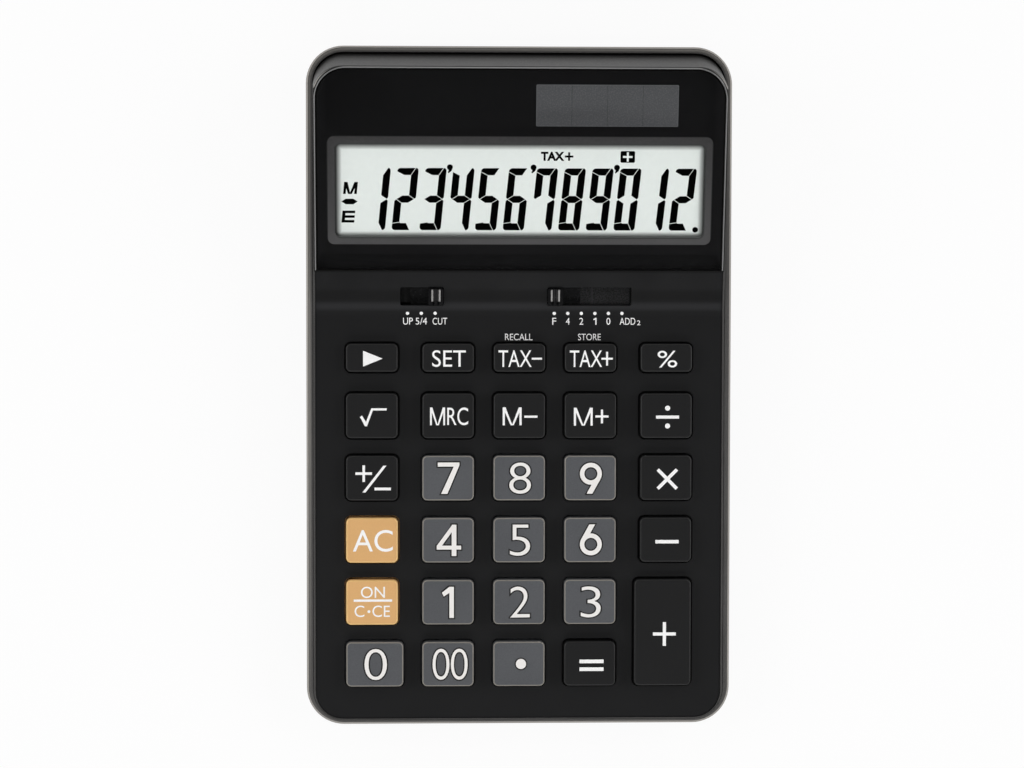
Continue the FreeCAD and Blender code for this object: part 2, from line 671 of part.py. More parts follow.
def housing_outline():
    """Side view of the front case: skirt, deck rail, display surface and leaning back."""
    half = s.display_tilt / 2
    return (
        (FRONT_END, -s.skirt_depth),
        (BACK_END, -s.skirt_depth),
        (BACK_END, ZERO),
        on_deck(s.display_length, s.rim_rise),
        (BEND_LINE - s.rim_rise * tangent(half), s.rim_rise),
        (FRONT_END, s.rim_rise),
    )


def hollow_outline():
    """Side view of the space inside the front case."""
    crest_y, crest_z = on_deck(s.display_length, s.rim_rise)
    foot_y = BACK_END - s.case_wall
    depth_at_foot = (BACK_END - BEND_LINE) * sine(s.display_tilt)
    depth_at_inner_foot = (foot_y - BEND_LINE) * sine(s.display_tilt)
    share = (depth_at_inner_foot - UNDER) / (depth_at_foot + s.rim_rise)
    half = s.display_tilt / 2
    low = -2 * s.skirt_depth
    return (
        (FRONT_END + s.case_wall, low),
        (foot_y, low),
        (foot_y, ZERO),
        (foot_y + share * (crest_y - BACK_END), share * crest_z),
        (BEND_LINE + UNDER * tangent(half), -UNDER),
        (FRONT_END + s.case_wall, -UNDER),
    )


def side_block(label, outline, width, corner):
    """A block with a side view and round corners seen from above."""
    body = new_body(label, DECK)
    side = new_sketch(body, "YZ_Plane")
    polygon(side, outline)
    add_feature(body, "Pad", side, width, symmetric=True)
    ends = (outline[0][0].value, outline[1][0].value)
    half = width.value / 2

    def upright_corner(edge):
        box = edge.BoundBox
        at_end = box.YMin < ends[0] + TOUCH or box.YMax > ends[1] - TOUCH
        return at_end and box.ZLength > CLOSE and abs(abs(box.XMin) - half) < TOUCH and box.XLength < TOUCH

    round_edges(body, corner, upright_corner)
    return body


def boss_cylinders(label, diameter, bottom, top):
    """Upright cylinders at the six case screws, in the deck frame."""
    body = new_body(label, DECK)
    for y in BOSS_ROWS:
        sketch = new_sketch(body, "XY_Plane", -BOSS_X, y, bottom)
        disc(sketch, diameter)
        repeat(body, add_feature(body, "Pad", sketch, top - bottom), 2, 2 * BOSS_X)
    return body


def post_rows():
    """Rows of the board's posts: how many, the first one's place and their pitch."""
    between = FIRST_ROW + ROW_PITCH / 2
    return ((2, between, 3 * ROW_PITCH), (1, BOSS_ROWS[1], ROW_PITCH))


def post_cylinders(label, diameter, bottom, top):
    """Upright cylinders at the six posts that carry the board."""
    body = new_body(label, DECK)
    for rows, y, pitch in post_rows():
        sketch = new_sketch(body, "XY_Plane", -COLUMN_PITCH / 2, y, bottom)
        disc(sketch, diameter)
        repeat(body, add_feature(body, "Pad", sketch, top - bottom), 2, COLUMN_PITCH, rows, pitch)
    return body


def lens_block(label, bottom, top, clearance, edge=None):
    """The lens outline, round at its upper corners, as a plate; edge bevels its sides and back."""
    body = new_body(label, DISPLAY)
    half = LENS_WIDTH / 2 + clearance
    front = LENS_FRONT - clearance
    back = LENS_BACK + clearance
    outline = new_sketch(body, "XY_Plane", z=bottom)
    polygon(outline, ((-half, front), (half, front), (half, back), (-half, back)))
    add_feature(body, "Pad", outline, top - bottom)
    far = back.value
    near = front.value
    round_edges(body, s.lens_corner + clearance,
                lambda line: runs_along(line, "z") and line.BoundBox.YMin > far - TOUCH)
    if edge:
        high = top.value
        round_edges(body, edge,
                    lambda line: line.BoundBox.ZMin > high - TOUCH and line.BoundBox.YMax > near + TOUCH,
                    "Chamfer")
    round_edges(body, s.lens_low_corner,
                lambda line: runs_along(line, "z") and line.BoundBox.YMax < near + TOUCH)
    return body


def window(label, width, height, x, y, corner, bottom, top):
    """A plate about a point of the display, as a piece or as a cutter."""
    body = new_body(label, DISPLAY)
    outline = new_sketch(body, "XY_Plane", x, y, bottom)
    rectangle(outline, width, height, corner)
    add_feature(body, "Pad", outline, top - bottom)
    return body


def make_front_case():
    """The front case: deck under the panel, display housing, walls, bosses and posts."""
    block = side_block("housing_block", housing_outline(), FRONT_CASE_WIDTH, FRONT_CASE_CORNER)
    crest = on_deck(s.display_length, s.rim_rise)
    half = FRONT_CASE_WIDTH / 2
    over = 2 * crest[1]
    for side in (1, -1):
        lean = new_sketch(block, "XZ_Plane")
        polygon(lean, ((side * half, ZERO), (side * (half - 2 * s.hump_inset), over),
                       (side * (half + s.hump_inset), over), (side * (half + s.hump_inset), ZERO)))
        cut = add_feature(block, "Pocket", lean, 2 * s.depth, symmetric=True)
        cut.Refine = True
    crest_y = crest[0].value

    def along_crest(edge):
        return runs_along(edge, "x") and abs(edge.BoundBox.YMin - crest_y) < CLOSE

    round_edges(block, s.crest_radius, along_crest)
    bend = BEND_LINE.value
    round_edges(block, s.bend_radius,
                lambda edge: runs_along(edge, "x") and abs(edge.BoundBox.YMin - bend) < 1)
    hollow = side_block("housing_hollow", hollow_outline(), FRONT_CASE_WIDTH - 2 * s.case_wall,
                        FRONT_CASE_CORNER - s.case_wall)
    shell = combine("Cut", "housing_shell", [block, hollow])
    tall = boss_cylinders("boss_blanks", s.boss_diameter, -s.boss_bottom, crest[1])
    bosses = combine("Common", "bosses_inside", [tall, side_block(
        "boss_limit", housing_limit(), FRONT_CASE_WIDTH - s.case_wall, FRONT_CASE_CORNER - s.case_wall / 2)])
    posts = post_cylinders("posts", s.post_diameter, -BOARD_TOP, -s.panel_thickness - s.case_deck / 2)
    solid = combine("MultiFuse", "housing_solid", [shell, bosses, posts])
    tools = [
        panel_block("panel_recess", 4 * UNDER, s.panel_clearance),
        lens_block("lens_recess", -LENS_SEAT, 4 * LENS_SEAT, s.panel_clearance),
        window("display_opening", OPENING_WIDTH, OPENING_HEIGHT, ZERO, GLASS_Y,
               s.bezel_corner + s.bezel_clearance, -2 * UNDER, ZERO),
        window("solar_opening", s.solar_width + 2 * s.solar_clearance, s.solar_height + 2 * s.solar_clearance,
               SOLAR_X, SOLAR_Y, s.solar_clearance, -2 * UNDER, ZERO),
        key_openings("case_key_holes", s.key_clearance + s.case_hole_extra, -2 * UNDER, UNDER),
        slider_slots("case_slots", s.case_hole_extra),
        boss_cylinders("boss_bores", s.screw_diameter, -2 * s.boss_bottom, s.screw_length - s.boss_bottom),
        post_cylinders("post_bores", s.small_screw_diameter, -2 * BOARD_TOP, -UNDER),
    ]
    return combine("Cut", "front_case", [solid, combine("MultiFuse", "housing_cutters", tools)])


def housing_limit():
    """Side view of the room in which the bosses may stand, halfway into the front case's walls."""
    crest_y, crest_z = on_deck(s.display_length, -s.case_deck)
    half = s.display_tilt / 2
    low = -2 * s.boss_bottom
    front = FRONT_END + s.case_wall / 2
    back = BACK_END - s.case_wall / 2
    high = -(s.panel_thickness + s.case_deck / 2)
    lean = s.case_wall * 2
    return (
        (front, low),
        (back, low),
        (back, ZERO),
        (crest_y - lean, crest_z),
        (BEND_LINE - high * tangent(half), high),
        (front, high),
    )


# ---- display ----

def make_display():
    """Lens, mask, grey frame, glass and solar cell."""
    pieces = []
    pieces.append(lens_block("display_lens", -LENS_BOTTOM, s.lens_rise, ZERO, s.lens_edge))
    film = lens_block("mask_film", -LENS_SEAT, -LENS_BOTTOM, ZERO)
    inner_width = BEZEL_WIDTH - 2 * s.bezel_border
    inner_height = s.bezel_height - 2 * s.bezel_border
    sight = window("mask_sight", BEZEL_WIDTH, s.bezel_height, ZERO, GLASS_Y, s.bezel_corner,
                   -2 * LENS_SEAT, ZERO)
    light = window("mask_light", s.solar_width, s.solar_height, SOLAR_X, SOLAR_Y, s.solar_clearance,
                   -2 * LENS_SEAT, ZERO)
    pieces.append(combine("Cut", "lens_mask", [film, combine("MultiFuse", "mask_windows", [sight, light])]))
    frame = window("bezel_plate", BEZEL_WIDTH, s.bezel_height, ZERO, GLASS_Y, s.bezel_corner,
                   -GLASS_TOP, -LENS_BOTTOM)
    hole = window("bezel_hole", inner_width, inner_height, ZERO, GLASS_Y, s.bezel_inner_corner,
                  -2 * GLASS_TOP, ZERO)
    pieces.append(combine("Cut", "display_bezel", [frame, hole]))
    ledges = 2 * s.glass_ledge
    pieces.append(window("display_glass", OPENING_WIDTH + ledges, OPENING_HEIGHT + ledges,
                         ZERO, GLASS_Y, s.bezel_inner_corner, -GLASS_BOTTOM, -GLASS_TOP))
    pieces.append(window("solar_cell", s.solar_width, s.solar_height, SOLAR_X, SOLAR_Y, s.solar_clearance,
                         -(LENS_BOTTOM + s.solar_thickness), -LENS_BOTTOM))
    return pieces


# ---- electronics ----

def make_board():
    """The circuit board with holes for its screws."""
    board = new_body("main_board", DECK)
    front = FIRST_ROW - s.board_margin
    back = BOARD_END
    outline = new_sketch(board, "XY_Plane", y=(front + back) / 2, z=-BOARD_BOTTOM)
    rectangle(outline, BOARD_WIDTH, back - front, s.board_corner)
    add_feature(board, "Pad", outline, s.board_thickness)
    for rows, y, pitch in post_rows():
        hole = new_sketch(board, "XY_Plane", -COLUMN_PITCH / 2, y, -BOARD_BOTTOM)
        disc(hole, s.small_screw_diameter + 2 * s.bore_clearance)
        drill = add_feature(board, "Pocket", hole, s.board_thickness, backwards=True)
        repeat(board, drill, 2, COLUMN_PITCH, rows, pitch)
    return board


def make_connector():
    """The soft strip between the display glass and the board."""
    strip = new_body("display_connector", DECK)
    side = new_sketch(strip, "YZ_Plane")
    ends = []
    for y in (STRIP_FRONT, STRIP_BACK):
        height = (y - BEND_LINE) * tangent(s.display_tilt) - GLASS_BOTTOM / cosine(s.display_tilt)
        ends.append((y, height))
    polygon(side, ((ends[0][0], -BOARD_TOP), (ends[1][0], -BOARD_TOP), ends[1], ends[0]))
    add_feature(strip, "Pad", side, BOARD_WIDTH - 2 * s.strip_inset, symmetric=True)
    return strip


def make_chip():
    """The controller under its drop of resin, below the board."""
    chip = new_body("controller_chip", DECK)
    turned(chip, ((ZERO, ZERO), (s.chip_diameter / 2, ZERO),
                  (s.chip_shoulder_width / 2, -s.chip_shoulder_height),
                  (s.chip_crown_width / 2, -s.chip_height), (ZERO, -s.chip_height)),
           y=BEND_LINE + s.chip_reach, z=-BOARD_BOTTOM)
    return chip


def screw_outline(diameter, head_diameter, head_height, length):
    """Half a pan-head screw, point up, with the underside of its head at zero."""
    point = diameter / 2
    return ((ZERO, -head_height), (head_diameter / 2 - head_height / 3, -head_height),
            (head_diameter / 2, head_height / -2), (head_diameter / 2, ZERO), (diameter / 2, ZERO),
            (diameter / 2, length - point), (ZERO, length))


def make_screws():
    """Case screws and board screws, each a group of like screws."""
    big = new_body("case_screws", DECK)
    seat = s.boss_bottom + s.pillar_seat
    shank = s.screw_diameter - s.bore_clearance
    outline = screw_outline(shank, s.head_diameter, s.head_height, s.screw_length)
    for y in BOSS_ROWS:
        repeat(big, turned(big, outline, -BOSS_X, y, -seat), 2, 2 * BOSS_X)
    small = new_body("board_screws", DECK)
    for rows, y, pitch in post_rows():
        screw = turned(small, small_screw_outline(), -COLUMN_PITCH / 2, y, -BOARD_BOTTOM)
        repeat(small, screw, 2, COLUMN_PITCH, rows, pitch)
    return [big, small]


def small_screw_outline():
    """Half a small screw."""
    return screw_outline(s.small_screw_diameter - s.bore_clearance, s.small_head_diameter,
                         s.small_head_height, s.small_screw_length)


def make_slider(name, x):
    """A slide switch: a ribbed knob on a carrier under the case, and the contact below it."""
    knob = new_body(name + "_knob", DISPLAY, x, s.slider_y)
    stem = new_sketch(knob, "XY_Plane", z=-(UNDER + s.carrier_gap))
    rectangle(stem, s.knob_width, s.slot_height - 2 * s.slot_side_clearance, s.slot_corner)
    add_feature(knob, "Pad", stem, UNDER + s.carrier_gap + s.knob_rise)
    groove = new_sketch(knob, "XZ_Plane", x=-s.knob_width / 6, z=s.knob_rise)
    polygon(groove, ((-s.knob_groove, ZERO), (s.knob_groove, ZERO), (ZERO, -s.knob_groove)))
    cut = add_feature(knob, "Pocket", groove, 2 * s.slot_height, symmetric=True)
    repeat(knob, cut, 2, s.knob_width / 3)
    carrier = new_sketch(knob, "XY_Plane", z=-(UNDER + s.carrier_gap + s.carrier_thickness))
    rectangle(carrier, s.carrier_width, s.carrier_height, s.slot_corner)
    add_feature(knob, "Pad", carrier, s.carrier_thickness)
    wiper = new_body(name + "_wiper", DISPLAY, x, s.slider_y, -(UNDER + s.carrier_gap + s.carrier_thickness))
    leaf = new_sketch(wiper, "YZ_Plane")
    reach = s.wiper_reach
    thick = s.wiper_thickness
    polygon(leaf, ((-reach, ZERO), (-(reach - 2 * thick), ZERO), (-thick, 2 * thick - reach),
                   (thick, 2 * thick - reach), (reach - 2 * thick, ZERO), (reach, ZERO),
                   (thick, -reach), (-thick, -reach)))
    add_feature(wiper, "Pad", leaf, s.wiper_width, symmetric=True)
    return [knob, wiper]


# ---- rear case and battery ----

def case_plate(label, width, front, back, corner, bottom, top):
    """A rounded plate in the case frame, between two heights."""
    body = new_body(label)
    outline = new_sketch(body, "XY_Plane", y=(front + back) / 2, z=bottom)
    rectangle(outline, width, back - front, corner)
    add_feature(body, "Pad", outline, top - bottom)
    return body


def under_deck(body, rise):
    """Cuts a body off along the keypad surface, a little above it."""
    side = new_sketch(body, "YZ_Plane")
    reach = s.depth
    middle = s.deck_middle_height + rise / cosine(s.deck_slope)
    slope = reach * tangent(s.deck_slope)
    polygon(side, ((-reach, middle - slope), (reach, middle + slope), (reach, middle + 2 * slope + s.depth),
                   (-reach, middle + 2 * slope + s.depth)))
    add_feature(body, "Pocket", side, 2 * s.width, symmetric=True)


def make_rear_case():
    """The rear case: a tub whose rounded lip shows all round the front case."""
    half = s.depth / 2
    top = s.deck_middle_height + s.depth * tangent(s.deck_slope)
    tub = case_plate("tub_block", s.width, -half, half, s.corner_radius, s.foot_height, top)
    under_deck(tub, s.rim_rise)
    low = s.foot_height.value
    round_edges(tub, s.bottom_radius, lambda edge: edge.BoundBox.ZMax < low + TOUCH)
    slope = math.tan(math.radians(s.deck_slope.value))
    deck = s.deck_middle_height.value

    def round_the_lip(edge):
        box = edge.BoundBox
        return box.ZMin > deck + box.YMin * slope and box.ZMax - box.ZMin < 2 * half.value * slope + CLOSE

    round_edges(tub, s.lip_bevel, round_the_lip, "Chamfer")
    room = case_plate("tub_room", s.width - 2 * s.tub_wall, s.tub_front_wall - half, half - s.tub_wall,
                      s.corner_radius - s.tub_wall, FLOOR_TOP, 2 * top)
    shell = combine("Cut", "tub_shell", [tub, room])
    tall = boss_cylinders("pillar_blanks", s.pillar_diameter, -s.depth / 4, -s.boss_bottom)
    floor = case_plate("pillar_limit", s.width - 2 * s.bore_clearance, s.bore_clearance - half,
                       half - s.bore_clearance, s.corner_radius, s.foot_height + s.bore_clearance, top)
    pillars = combine("Common", "pillars", [tall, floor])
    well = battery_well()
    solid = combine("MultiFuse", "tub_solid", [shell, pillars, well[0]])
    seat = s.boss_bottom + s.pillar_seat
    tools = [
        boss_cylinders("screw_bores", s.screw_diameter + 2 * s.bore_clearance, -s.depth / 3, s.screw_length),
        boss_cylinders("screw_seats", s.head_diameter + 2 * s.head_clearance, -s.depth / 3, -seat),
        foot_cylinders("foot_recesses", s.foot_diameter + 2 * s.foot_clearance, -s.foot_height,
                       s.foot_height + s.foot_recess),
    ]
    return combine("Cut", "rear_case", [solid, combine("MultiFuse", "tub_cutters", tools + well[1])])


def cell_plate(label, width, length, corner, bottom, top, x=ZERO):
    """A rounded plate about the button cell's place."""
    body = new_body(label)
    outline = new_sketch(body, "XY_Plane", CELL_X + x, CELL_Y, bottom)
    rectangle(outline, width, length, corner)
    add_feature(body, "Pad", outline, top - bottom)
    return body


CONTACT_SLOT_X = s.well_width / 2 - 2 * s.contact_thickness


def battery_well():
    """The battery well's walls, and the cutters that open it below and give it its ledge."""
    wall = 2 * s.well_wall
    block = cell_plate("well_block", s.well_width + wall, s.well_depth + wall, s.cover_corner,
                       s.foot_height + s.floor_thickness / 2, s.well_roof + s.well_wall)
    room = cell_plate("well_room", s.well_width, s.well_depth, s.cover_corner / 2, ZERO, s.well_roof)
    ledge = cell_plate("cover_recess", s.well_width + 2 * s.cover_ledge, s.well_depth + 2 * s.cover_ledge,
                       s.cover_corner, ZERO, s.foot_height + s.cover_thickness)
    slots = []
    for name, side in (("minus", -1), ("plus", 1)):
        thin = s.contact_thickness
        slots.append(cell_plate("slot_" + name, 2 * thin, s.contact_width + thin, thin / 2, s.cell_height,
                                2 * s.well_roof, side * CONTACT_SLOT_X))
    return block, [room, ledge] + slots


def foot_cylinders(label, diameter, bottom, top):
    """Upright cylinders at the four feet."""
    body = new_body(label)
    sketch = new_sketch(body, "XY_Plane", -FOOT_X, -FOOT_Y, bottom)
    disc(sketch, diameter)
    repeat(body, add_feature(body, "Pad", sketch, top - bottom), 2, 2 * FOOT_X, 2, 2 * FOOT_Y)
    return body


def make_feet():
    """Four rubber feet in their recesses."""
    feet = new_body("rubber_feet")
    radius = s.foot_diameter / 2
    top = s.foot_height + s.foot_recess
    outline = ((ZERO, ZERO), (radius - s.foot_edge, ZERO), (radius, s.foot_edge), (radius, top), (ZERO, top))
    repeat(feet, turned(feet, outline, -FOOT_X, -FOOT_Y), 2, 2 * FOOT_X, 2, 2 * FOOT_Y)
    return feet


def make_battery():
    """The cover of the battery well and the button cell that lies on it."""
    slack = 2 * s.cover_clearance
    cover = new_body("battery_cover")
    plate = new_sketch(cover, "XY_Plane", CELL_X, CELL_Y, s.foot_height)
    rectangle(plate, s.well_width + 2 * s.cover_ledge - slack, s.well_depth + 2 * s.cover_ledge - slack,
              s.cover_corner - s.cover_clearance)
    add_feature(cover, "Pad", plate, s.cover_thickness)
    pad = new_sketch(cover, "XY_Plane", CELL_X, CELL_Y, s.foot_height)
    rectangle(pad, s.cell_diameter, s.well_depth - slack, s.cover_corner / 2)
    add_feature(cover, "Pad", pad, s.floor_thickness)
    cell = new_body("button_cell")
    can = s.cell_diameter / 2
    cap = s.cell_cap_diameter / 2
    step = s.cell_can_height
    turned(cell, ((ZERO, ZERO), (can, ZERO), (can, step), (cap, step), (cap, s.cell_height),
                  (ZERO, s.cell_height)), CELL_X, CELL_Y, FLOOR_TOP)
    return [cover, cell]


def make_contacts():
    """The two sprung contacts of the button cell."""
    thin = s.contact_thickness
    roof = s.well_roof
    cell_top = FLOOR_TOP + s.cell_height
    minus = new_body("battery_contact_minus")
    side = new_sketch(minus, "XZ_Plane", CELL_X, CELL_Y)
    left = -CONTACT_SLOT_X
    polygon(side, ((left - thin / 2, roof + 2 * s.well_wall), (left - thin / 2, roof - thin),
                   (-2 * thin, roof - thin), (-thin, cell_top), (thin, cell_top), (4 * thin, roof - thin),
                   (5 * thin, roof - thin), (5 * thin, roof), (left + thin / 2, roof),
                   (left + thin / 2, roof + 2 * s.well_wall)))
    add_feature(minus, "Pad", side, s.contact_width, symmetric=True)
    plus = new_body("battery_contact_plus")
    side = new_sketch(plus, "XZ_Plane", CELL_X, CELL_Y)
    right = CONTACT_SLOT_X
    edge = s.cell_diameter / 2
    middle = FLOOR_TOP + s.cell_height / 3
    polygon(side, ((right - thin / 2, roof + 2 * s.well_wall), (right - thin / 2, roof - 2 * thin),
                   (edge, middle + thin), (edge, middle), (edge + 2 * thin, middle - thin),
                   (right + thin / 2, roof - 3 * thin), (right + thin / 2, roof + 2 * s.well_wall)))
    add_feature(plus, "Pad", side, s.contact_width, symmetric=True)
    return [minus, plus]


def check(pieces):
    """Stops on any failed feature and on any piece that is not a sound solid."""
    for thing in document.Objects:
        if "Invalid" in thing.State or "Error" in thing.State:
            raise ValueError("failed: " + thing.Label)
    for piece in pieces:
        shape = piece.Shape
        if shape.isNull() or not shape.isValid() or not shape.Solids:
            raise ValueError("not a sound solid: " + piece.Label)


def main():
    """Builds every piece, checks it and writes it under its own name."""
    pieces = [make_rear_case(), make_front_case(), make_panel()]
    pieces += make_display()
    pieces += [make_board(), make_connector(), make_chip(), make_mat()]
    pieces += make_screws()
    pieces += make_slider("rounding", s.rounding_x)
    pieces += make_slider("decimal", s.decimal_x)
    pieces += make_battery()
    pieces += make_contacts()
    pieces += [make_feet()]
    pieces += make_keys()
    document.recompute()
    check(pieces)
    os.makedirs("parts", exist_ok=True)
    for piece in pieces:
        piece.Shape.exportStep("parts/" + piece.Label + ".step")
        print(piece.Label, len(piece.Shape.Solids), round(piece.Shape.Volume, 1))


main()
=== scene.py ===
"""Looks of the desk calculator: the legends on its keys, the marks at its switches, the figures of its
display, the finish of every moulded part, and the stage that it stands on."""
import json
import math

import bmesh
import bpy
from bpy.props import FloatProperty, FloatVectorProperty, PointerProperty, StringProperty
from mathutils import Euler, Matrix, Vector

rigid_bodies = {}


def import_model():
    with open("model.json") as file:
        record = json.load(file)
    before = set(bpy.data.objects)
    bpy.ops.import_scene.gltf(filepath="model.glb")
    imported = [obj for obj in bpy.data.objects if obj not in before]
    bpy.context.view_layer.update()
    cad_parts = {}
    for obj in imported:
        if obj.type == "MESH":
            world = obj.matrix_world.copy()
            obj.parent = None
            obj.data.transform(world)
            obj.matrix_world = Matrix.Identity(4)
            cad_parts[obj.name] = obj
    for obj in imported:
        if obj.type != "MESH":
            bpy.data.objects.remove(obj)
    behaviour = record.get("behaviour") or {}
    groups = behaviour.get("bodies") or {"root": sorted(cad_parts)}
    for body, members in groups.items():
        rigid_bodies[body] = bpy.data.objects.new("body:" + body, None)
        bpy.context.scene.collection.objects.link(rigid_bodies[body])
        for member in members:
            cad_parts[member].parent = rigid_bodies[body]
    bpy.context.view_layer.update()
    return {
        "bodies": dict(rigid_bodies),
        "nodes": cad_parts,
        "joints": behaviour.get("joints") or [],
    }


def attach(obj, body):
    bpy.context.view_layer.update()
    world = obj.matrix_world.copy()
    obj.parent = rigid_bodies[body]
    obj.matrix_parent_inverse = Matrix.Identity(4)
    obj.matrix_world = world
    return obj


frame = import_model()

bl_info = {
    "name": "Desk calculator looks",
    "version": (1, 0, 0),
    "blender": (4, 5, 0),
    "location": "3D View > Sidebar > Calculator",
    "description": "Legends, display figures, finishes and stage for a desk calculator",
    "category": "Object",
}

MM = 0.001
WHITE = (1.0, 1.0, 1.0, 1.0)
SOLAR_FIELDS = 4
HAIR = 0.001 * MM
WELD = 1e-5
LEVELS = 6
MITRE_LIMIT = 0.6
CURVE_STEPS, DISC_STEPS, RING_STEPS = 6, 40, 48
NUMBERS = ("zero", "one", "two", "three", "four", "five", "six", "seven", "eight", "nine")
NUMBER_KEYS = (*NUMBERS, "double_zero", "point")
CLEAR_KEYS = ("all_clear", "on_clear")
KEYS = [body.removeprefix("key_") for body in sorted(frame["bodies"]) if body.startswith("key_")]


# ---- sizes and colours

def keypad_slope():
    """Slope of the keypad, read from the direction in which a key moves."""
    axis = Vector(next(joint["axis"] for joint in frame["joints"] if joint["name"] == "press_five"))
    return math.atan2(axis.y, -axis.z)


def measured(scale=1.0, **settings):
    """A way to write one kind of property; its default is given in a unit of its own."""
    def written(name, text, default):
        return FloatProperty(name=name, description=text, default=default * scale, **settings)
    return written


length = measured(MM, unit="LENGTH", precision=5)
angle = measured(math.radians(1), subtype="ANGLE")
power = measured(unit="POWER")
number = measured()
share = measured(min=0.0, max=1.0, subtype="FACTOR")


def colour(name, text, *default):
    return FloatVectorProperty(name=name, description=text, default=default, min=0.0, max=1.0,
                               subtype="COLOR")


def lengths(name, text, *sizes):
    """Lengths in a row, given in millimetres."""
    return FloatVectorProperty(name=name, description=text, size=len(sizes), unit="LENGTH", precision=5,
                               default=tuple(size * MM for size in sizes))


class SurfaceSizes(bpy.types.PropertyGroup):
    """Where the keypad surface and the display surface lie."""

    deck_height: length("Keypad height", "Height of the keypad surface over the middle of the desk", 16)
    deck_slope: angle("Keypad slope", "Slope of the keypad surface", math.degrees(keypad_slope()))
    display_tilt: angle("Display tilt", "Display surface against the keypad surface", 11)
    bend_line: length("Bend line", "Where the two surfaces meet, up the keypad", 20.789)
    case_corner: length("Case corners", "Corners of the case seen from above", 9.5)
    lens_corner: length("Lens corners", "Upper corners of the lens", 7.5)


class MarkSizes(bpy.types.PropertyGroup):
    """Where a surface changes its look, measured across and up the keypad unless it says otherwise."""

    # Painted shade on the flat keypad, painted highlight along the crease and painted shade in the hollow of
    # the bend
    flat_end: length("Flat end", "Where the flat keypad ends", 19.1)
    crease: length("Crease", "Middle of the bright crease of the bend", 20.45)
    crease_width: lengths("Crease width", "Half width of the crease, full and with its fade", 0.35, 1.3)
    hollow: lengths("Hollow", "Where the dark hollow starts, is full, and ends", 21.3, 22.4, 24.0, 25.2)
    joint: length("Joint", "Where the sheet dips to the lens", 29.025)
    carbon: lengths("Carbon pad", "Middle and half size, under the longer slide", 22.1, 24.0, 6.4, 9.0)
    carbon_seam: length("Carbon seam", "Bright seam across the carbon pad", 18.9)
    # Where the board is darker, under the shorter slide
    bare: lengths("Darker board", "Middle and half size, under the shorter slide", -25.0, 24.0, 9.0, 6.0)
    track: length("Track", "Half the pitch of the copper tracks", 0.9)
    # Where the painted highlight on a knob's grip lies
    grip: lengths("Grip", "Flanks of a knob's grip: start, full, and half their length", 0.60, 0.75, 1.45)
    # Where the painted highlight on the case's lip lies
    lip: lengths("Lip", "Lip of the case: start, full, fade, end, from the case's side",
                 -1.6, -0.95, -0.7, -0.55)
    # Painted shade on the back of the case
    hump: lengths("Hump", "Dark back of the case: full and ended, from the case's side", -2.0, -1.4)
    shade: lengths("Shade", "Shade in the display's opening, from the opening's edge", -1.6, -0.16)
    # Painted shade on the grey frame, up the display
    frame_fall: lengths("Frame fall", "Where the grey frame darkens, up the display", 16, 42)
    # Painted shade deepens the print towards the back; painted light makes it paler at its foot and sides
    print_fall: lengths("Print fall", "Where the print deepens, up the display", 15, 50)
    print_foot: lengths("Print foot", "Where the print gets paler towards the sheet, up the display",
                        9.5, 13)
    print_side: lengths("Print side", "Where the print gets paler towards the sides", 48.5, 50.5)
    # Painted shadow line, painted highlight and painted shade, outward from the lens
    seal: lengths("Seal", "Dark, bright and dark again, outward from the lens's side", 0.13, 0.41, 0.70)
    seal_foot: length("Seal foot", "Where the seal begins, below the lens's foot", 0.475)
    line_half: length("Line half", "Half width of a line between two solar fields", 0.075)
    border: length("Border", "Bright border of the solar cell", 0.17)
    track_gap: length("Track gap", "Where a copper track begins, from the middle of its gap", 0.53)


class LegendSizes(bpy.types.PropertyGroup):
    """Printed legends."""

    ink_height: length("Ink", "Thickness of a printed legend", 0.03)
    edge_height: length("Edge ink", "Thickness of the dark edge round a legend", 0.018)
    edge_width: length("Edge", "Width of the dark edge round a number", 0.33)
    shift: length("Shift", "Legends to the right of the middle of their keys", 0.22)
    digit_height: length("Digit height", "Height of the digits on the number keys", 7.95)
    digit_weight: number("Digit weight", "Digits made heavier, as a share of their size", -0.011)
    word_weight: number("Word weight", "Words made heavier, as a share of their size", 0.0)
    mark_dot: length("Mark dot", "Dots at the places of a switch", 0.85)
    mark_level: length("Mark dots", "Level of the dots, up the keypad", 18.67)
    first_place: length("First place", "First place of the longer slide", 8.92)
    places: length("Places", "From place to place of the longer slide", 3.45)


class DisplaySizes(bpy.types.PropertyGroup):
    """Figures of the display."""

    figure: StringProperty(name="Figure", default="123'456'789'012.",
                           description="What the display shows, each mark standing before its digit")
    width: length("Digit width", "Width of a digit, upright", 5.5)
    height: length("Digit height", "Height of a digit", 16.0)
    stroke: length("Segment", "Width of a segment", 1.93)
    gap: length("Gap", "Gap between two segments", 0.14)
    rounding: length("Rounding", "Outer corners of a digit", 0.85)
    pitch: length("Pitch", "From digit to digit", 7.02)
    slant: angle("Slant", "Lean of the digits", 5.6)
    first: length("First digit", "Foot of the first digit's left side", -39.5)
    foot: length("Foot", "Foot of the digits above the bend line", 18.8)
    film: length("Film", "Thickness of a dark figure", 0.02)
    window: lengths("Window", "Middle and half size of the shaded opening", 0.1, 28.98, 46.6, 11.97)
    frame: lengths("Frame", "Middle and half size of the grey frame", 0.0, 29.1, 48.38, 13.7)
    corner: length("Corners", "Corners of the opening and of the grey frame", 1.45)


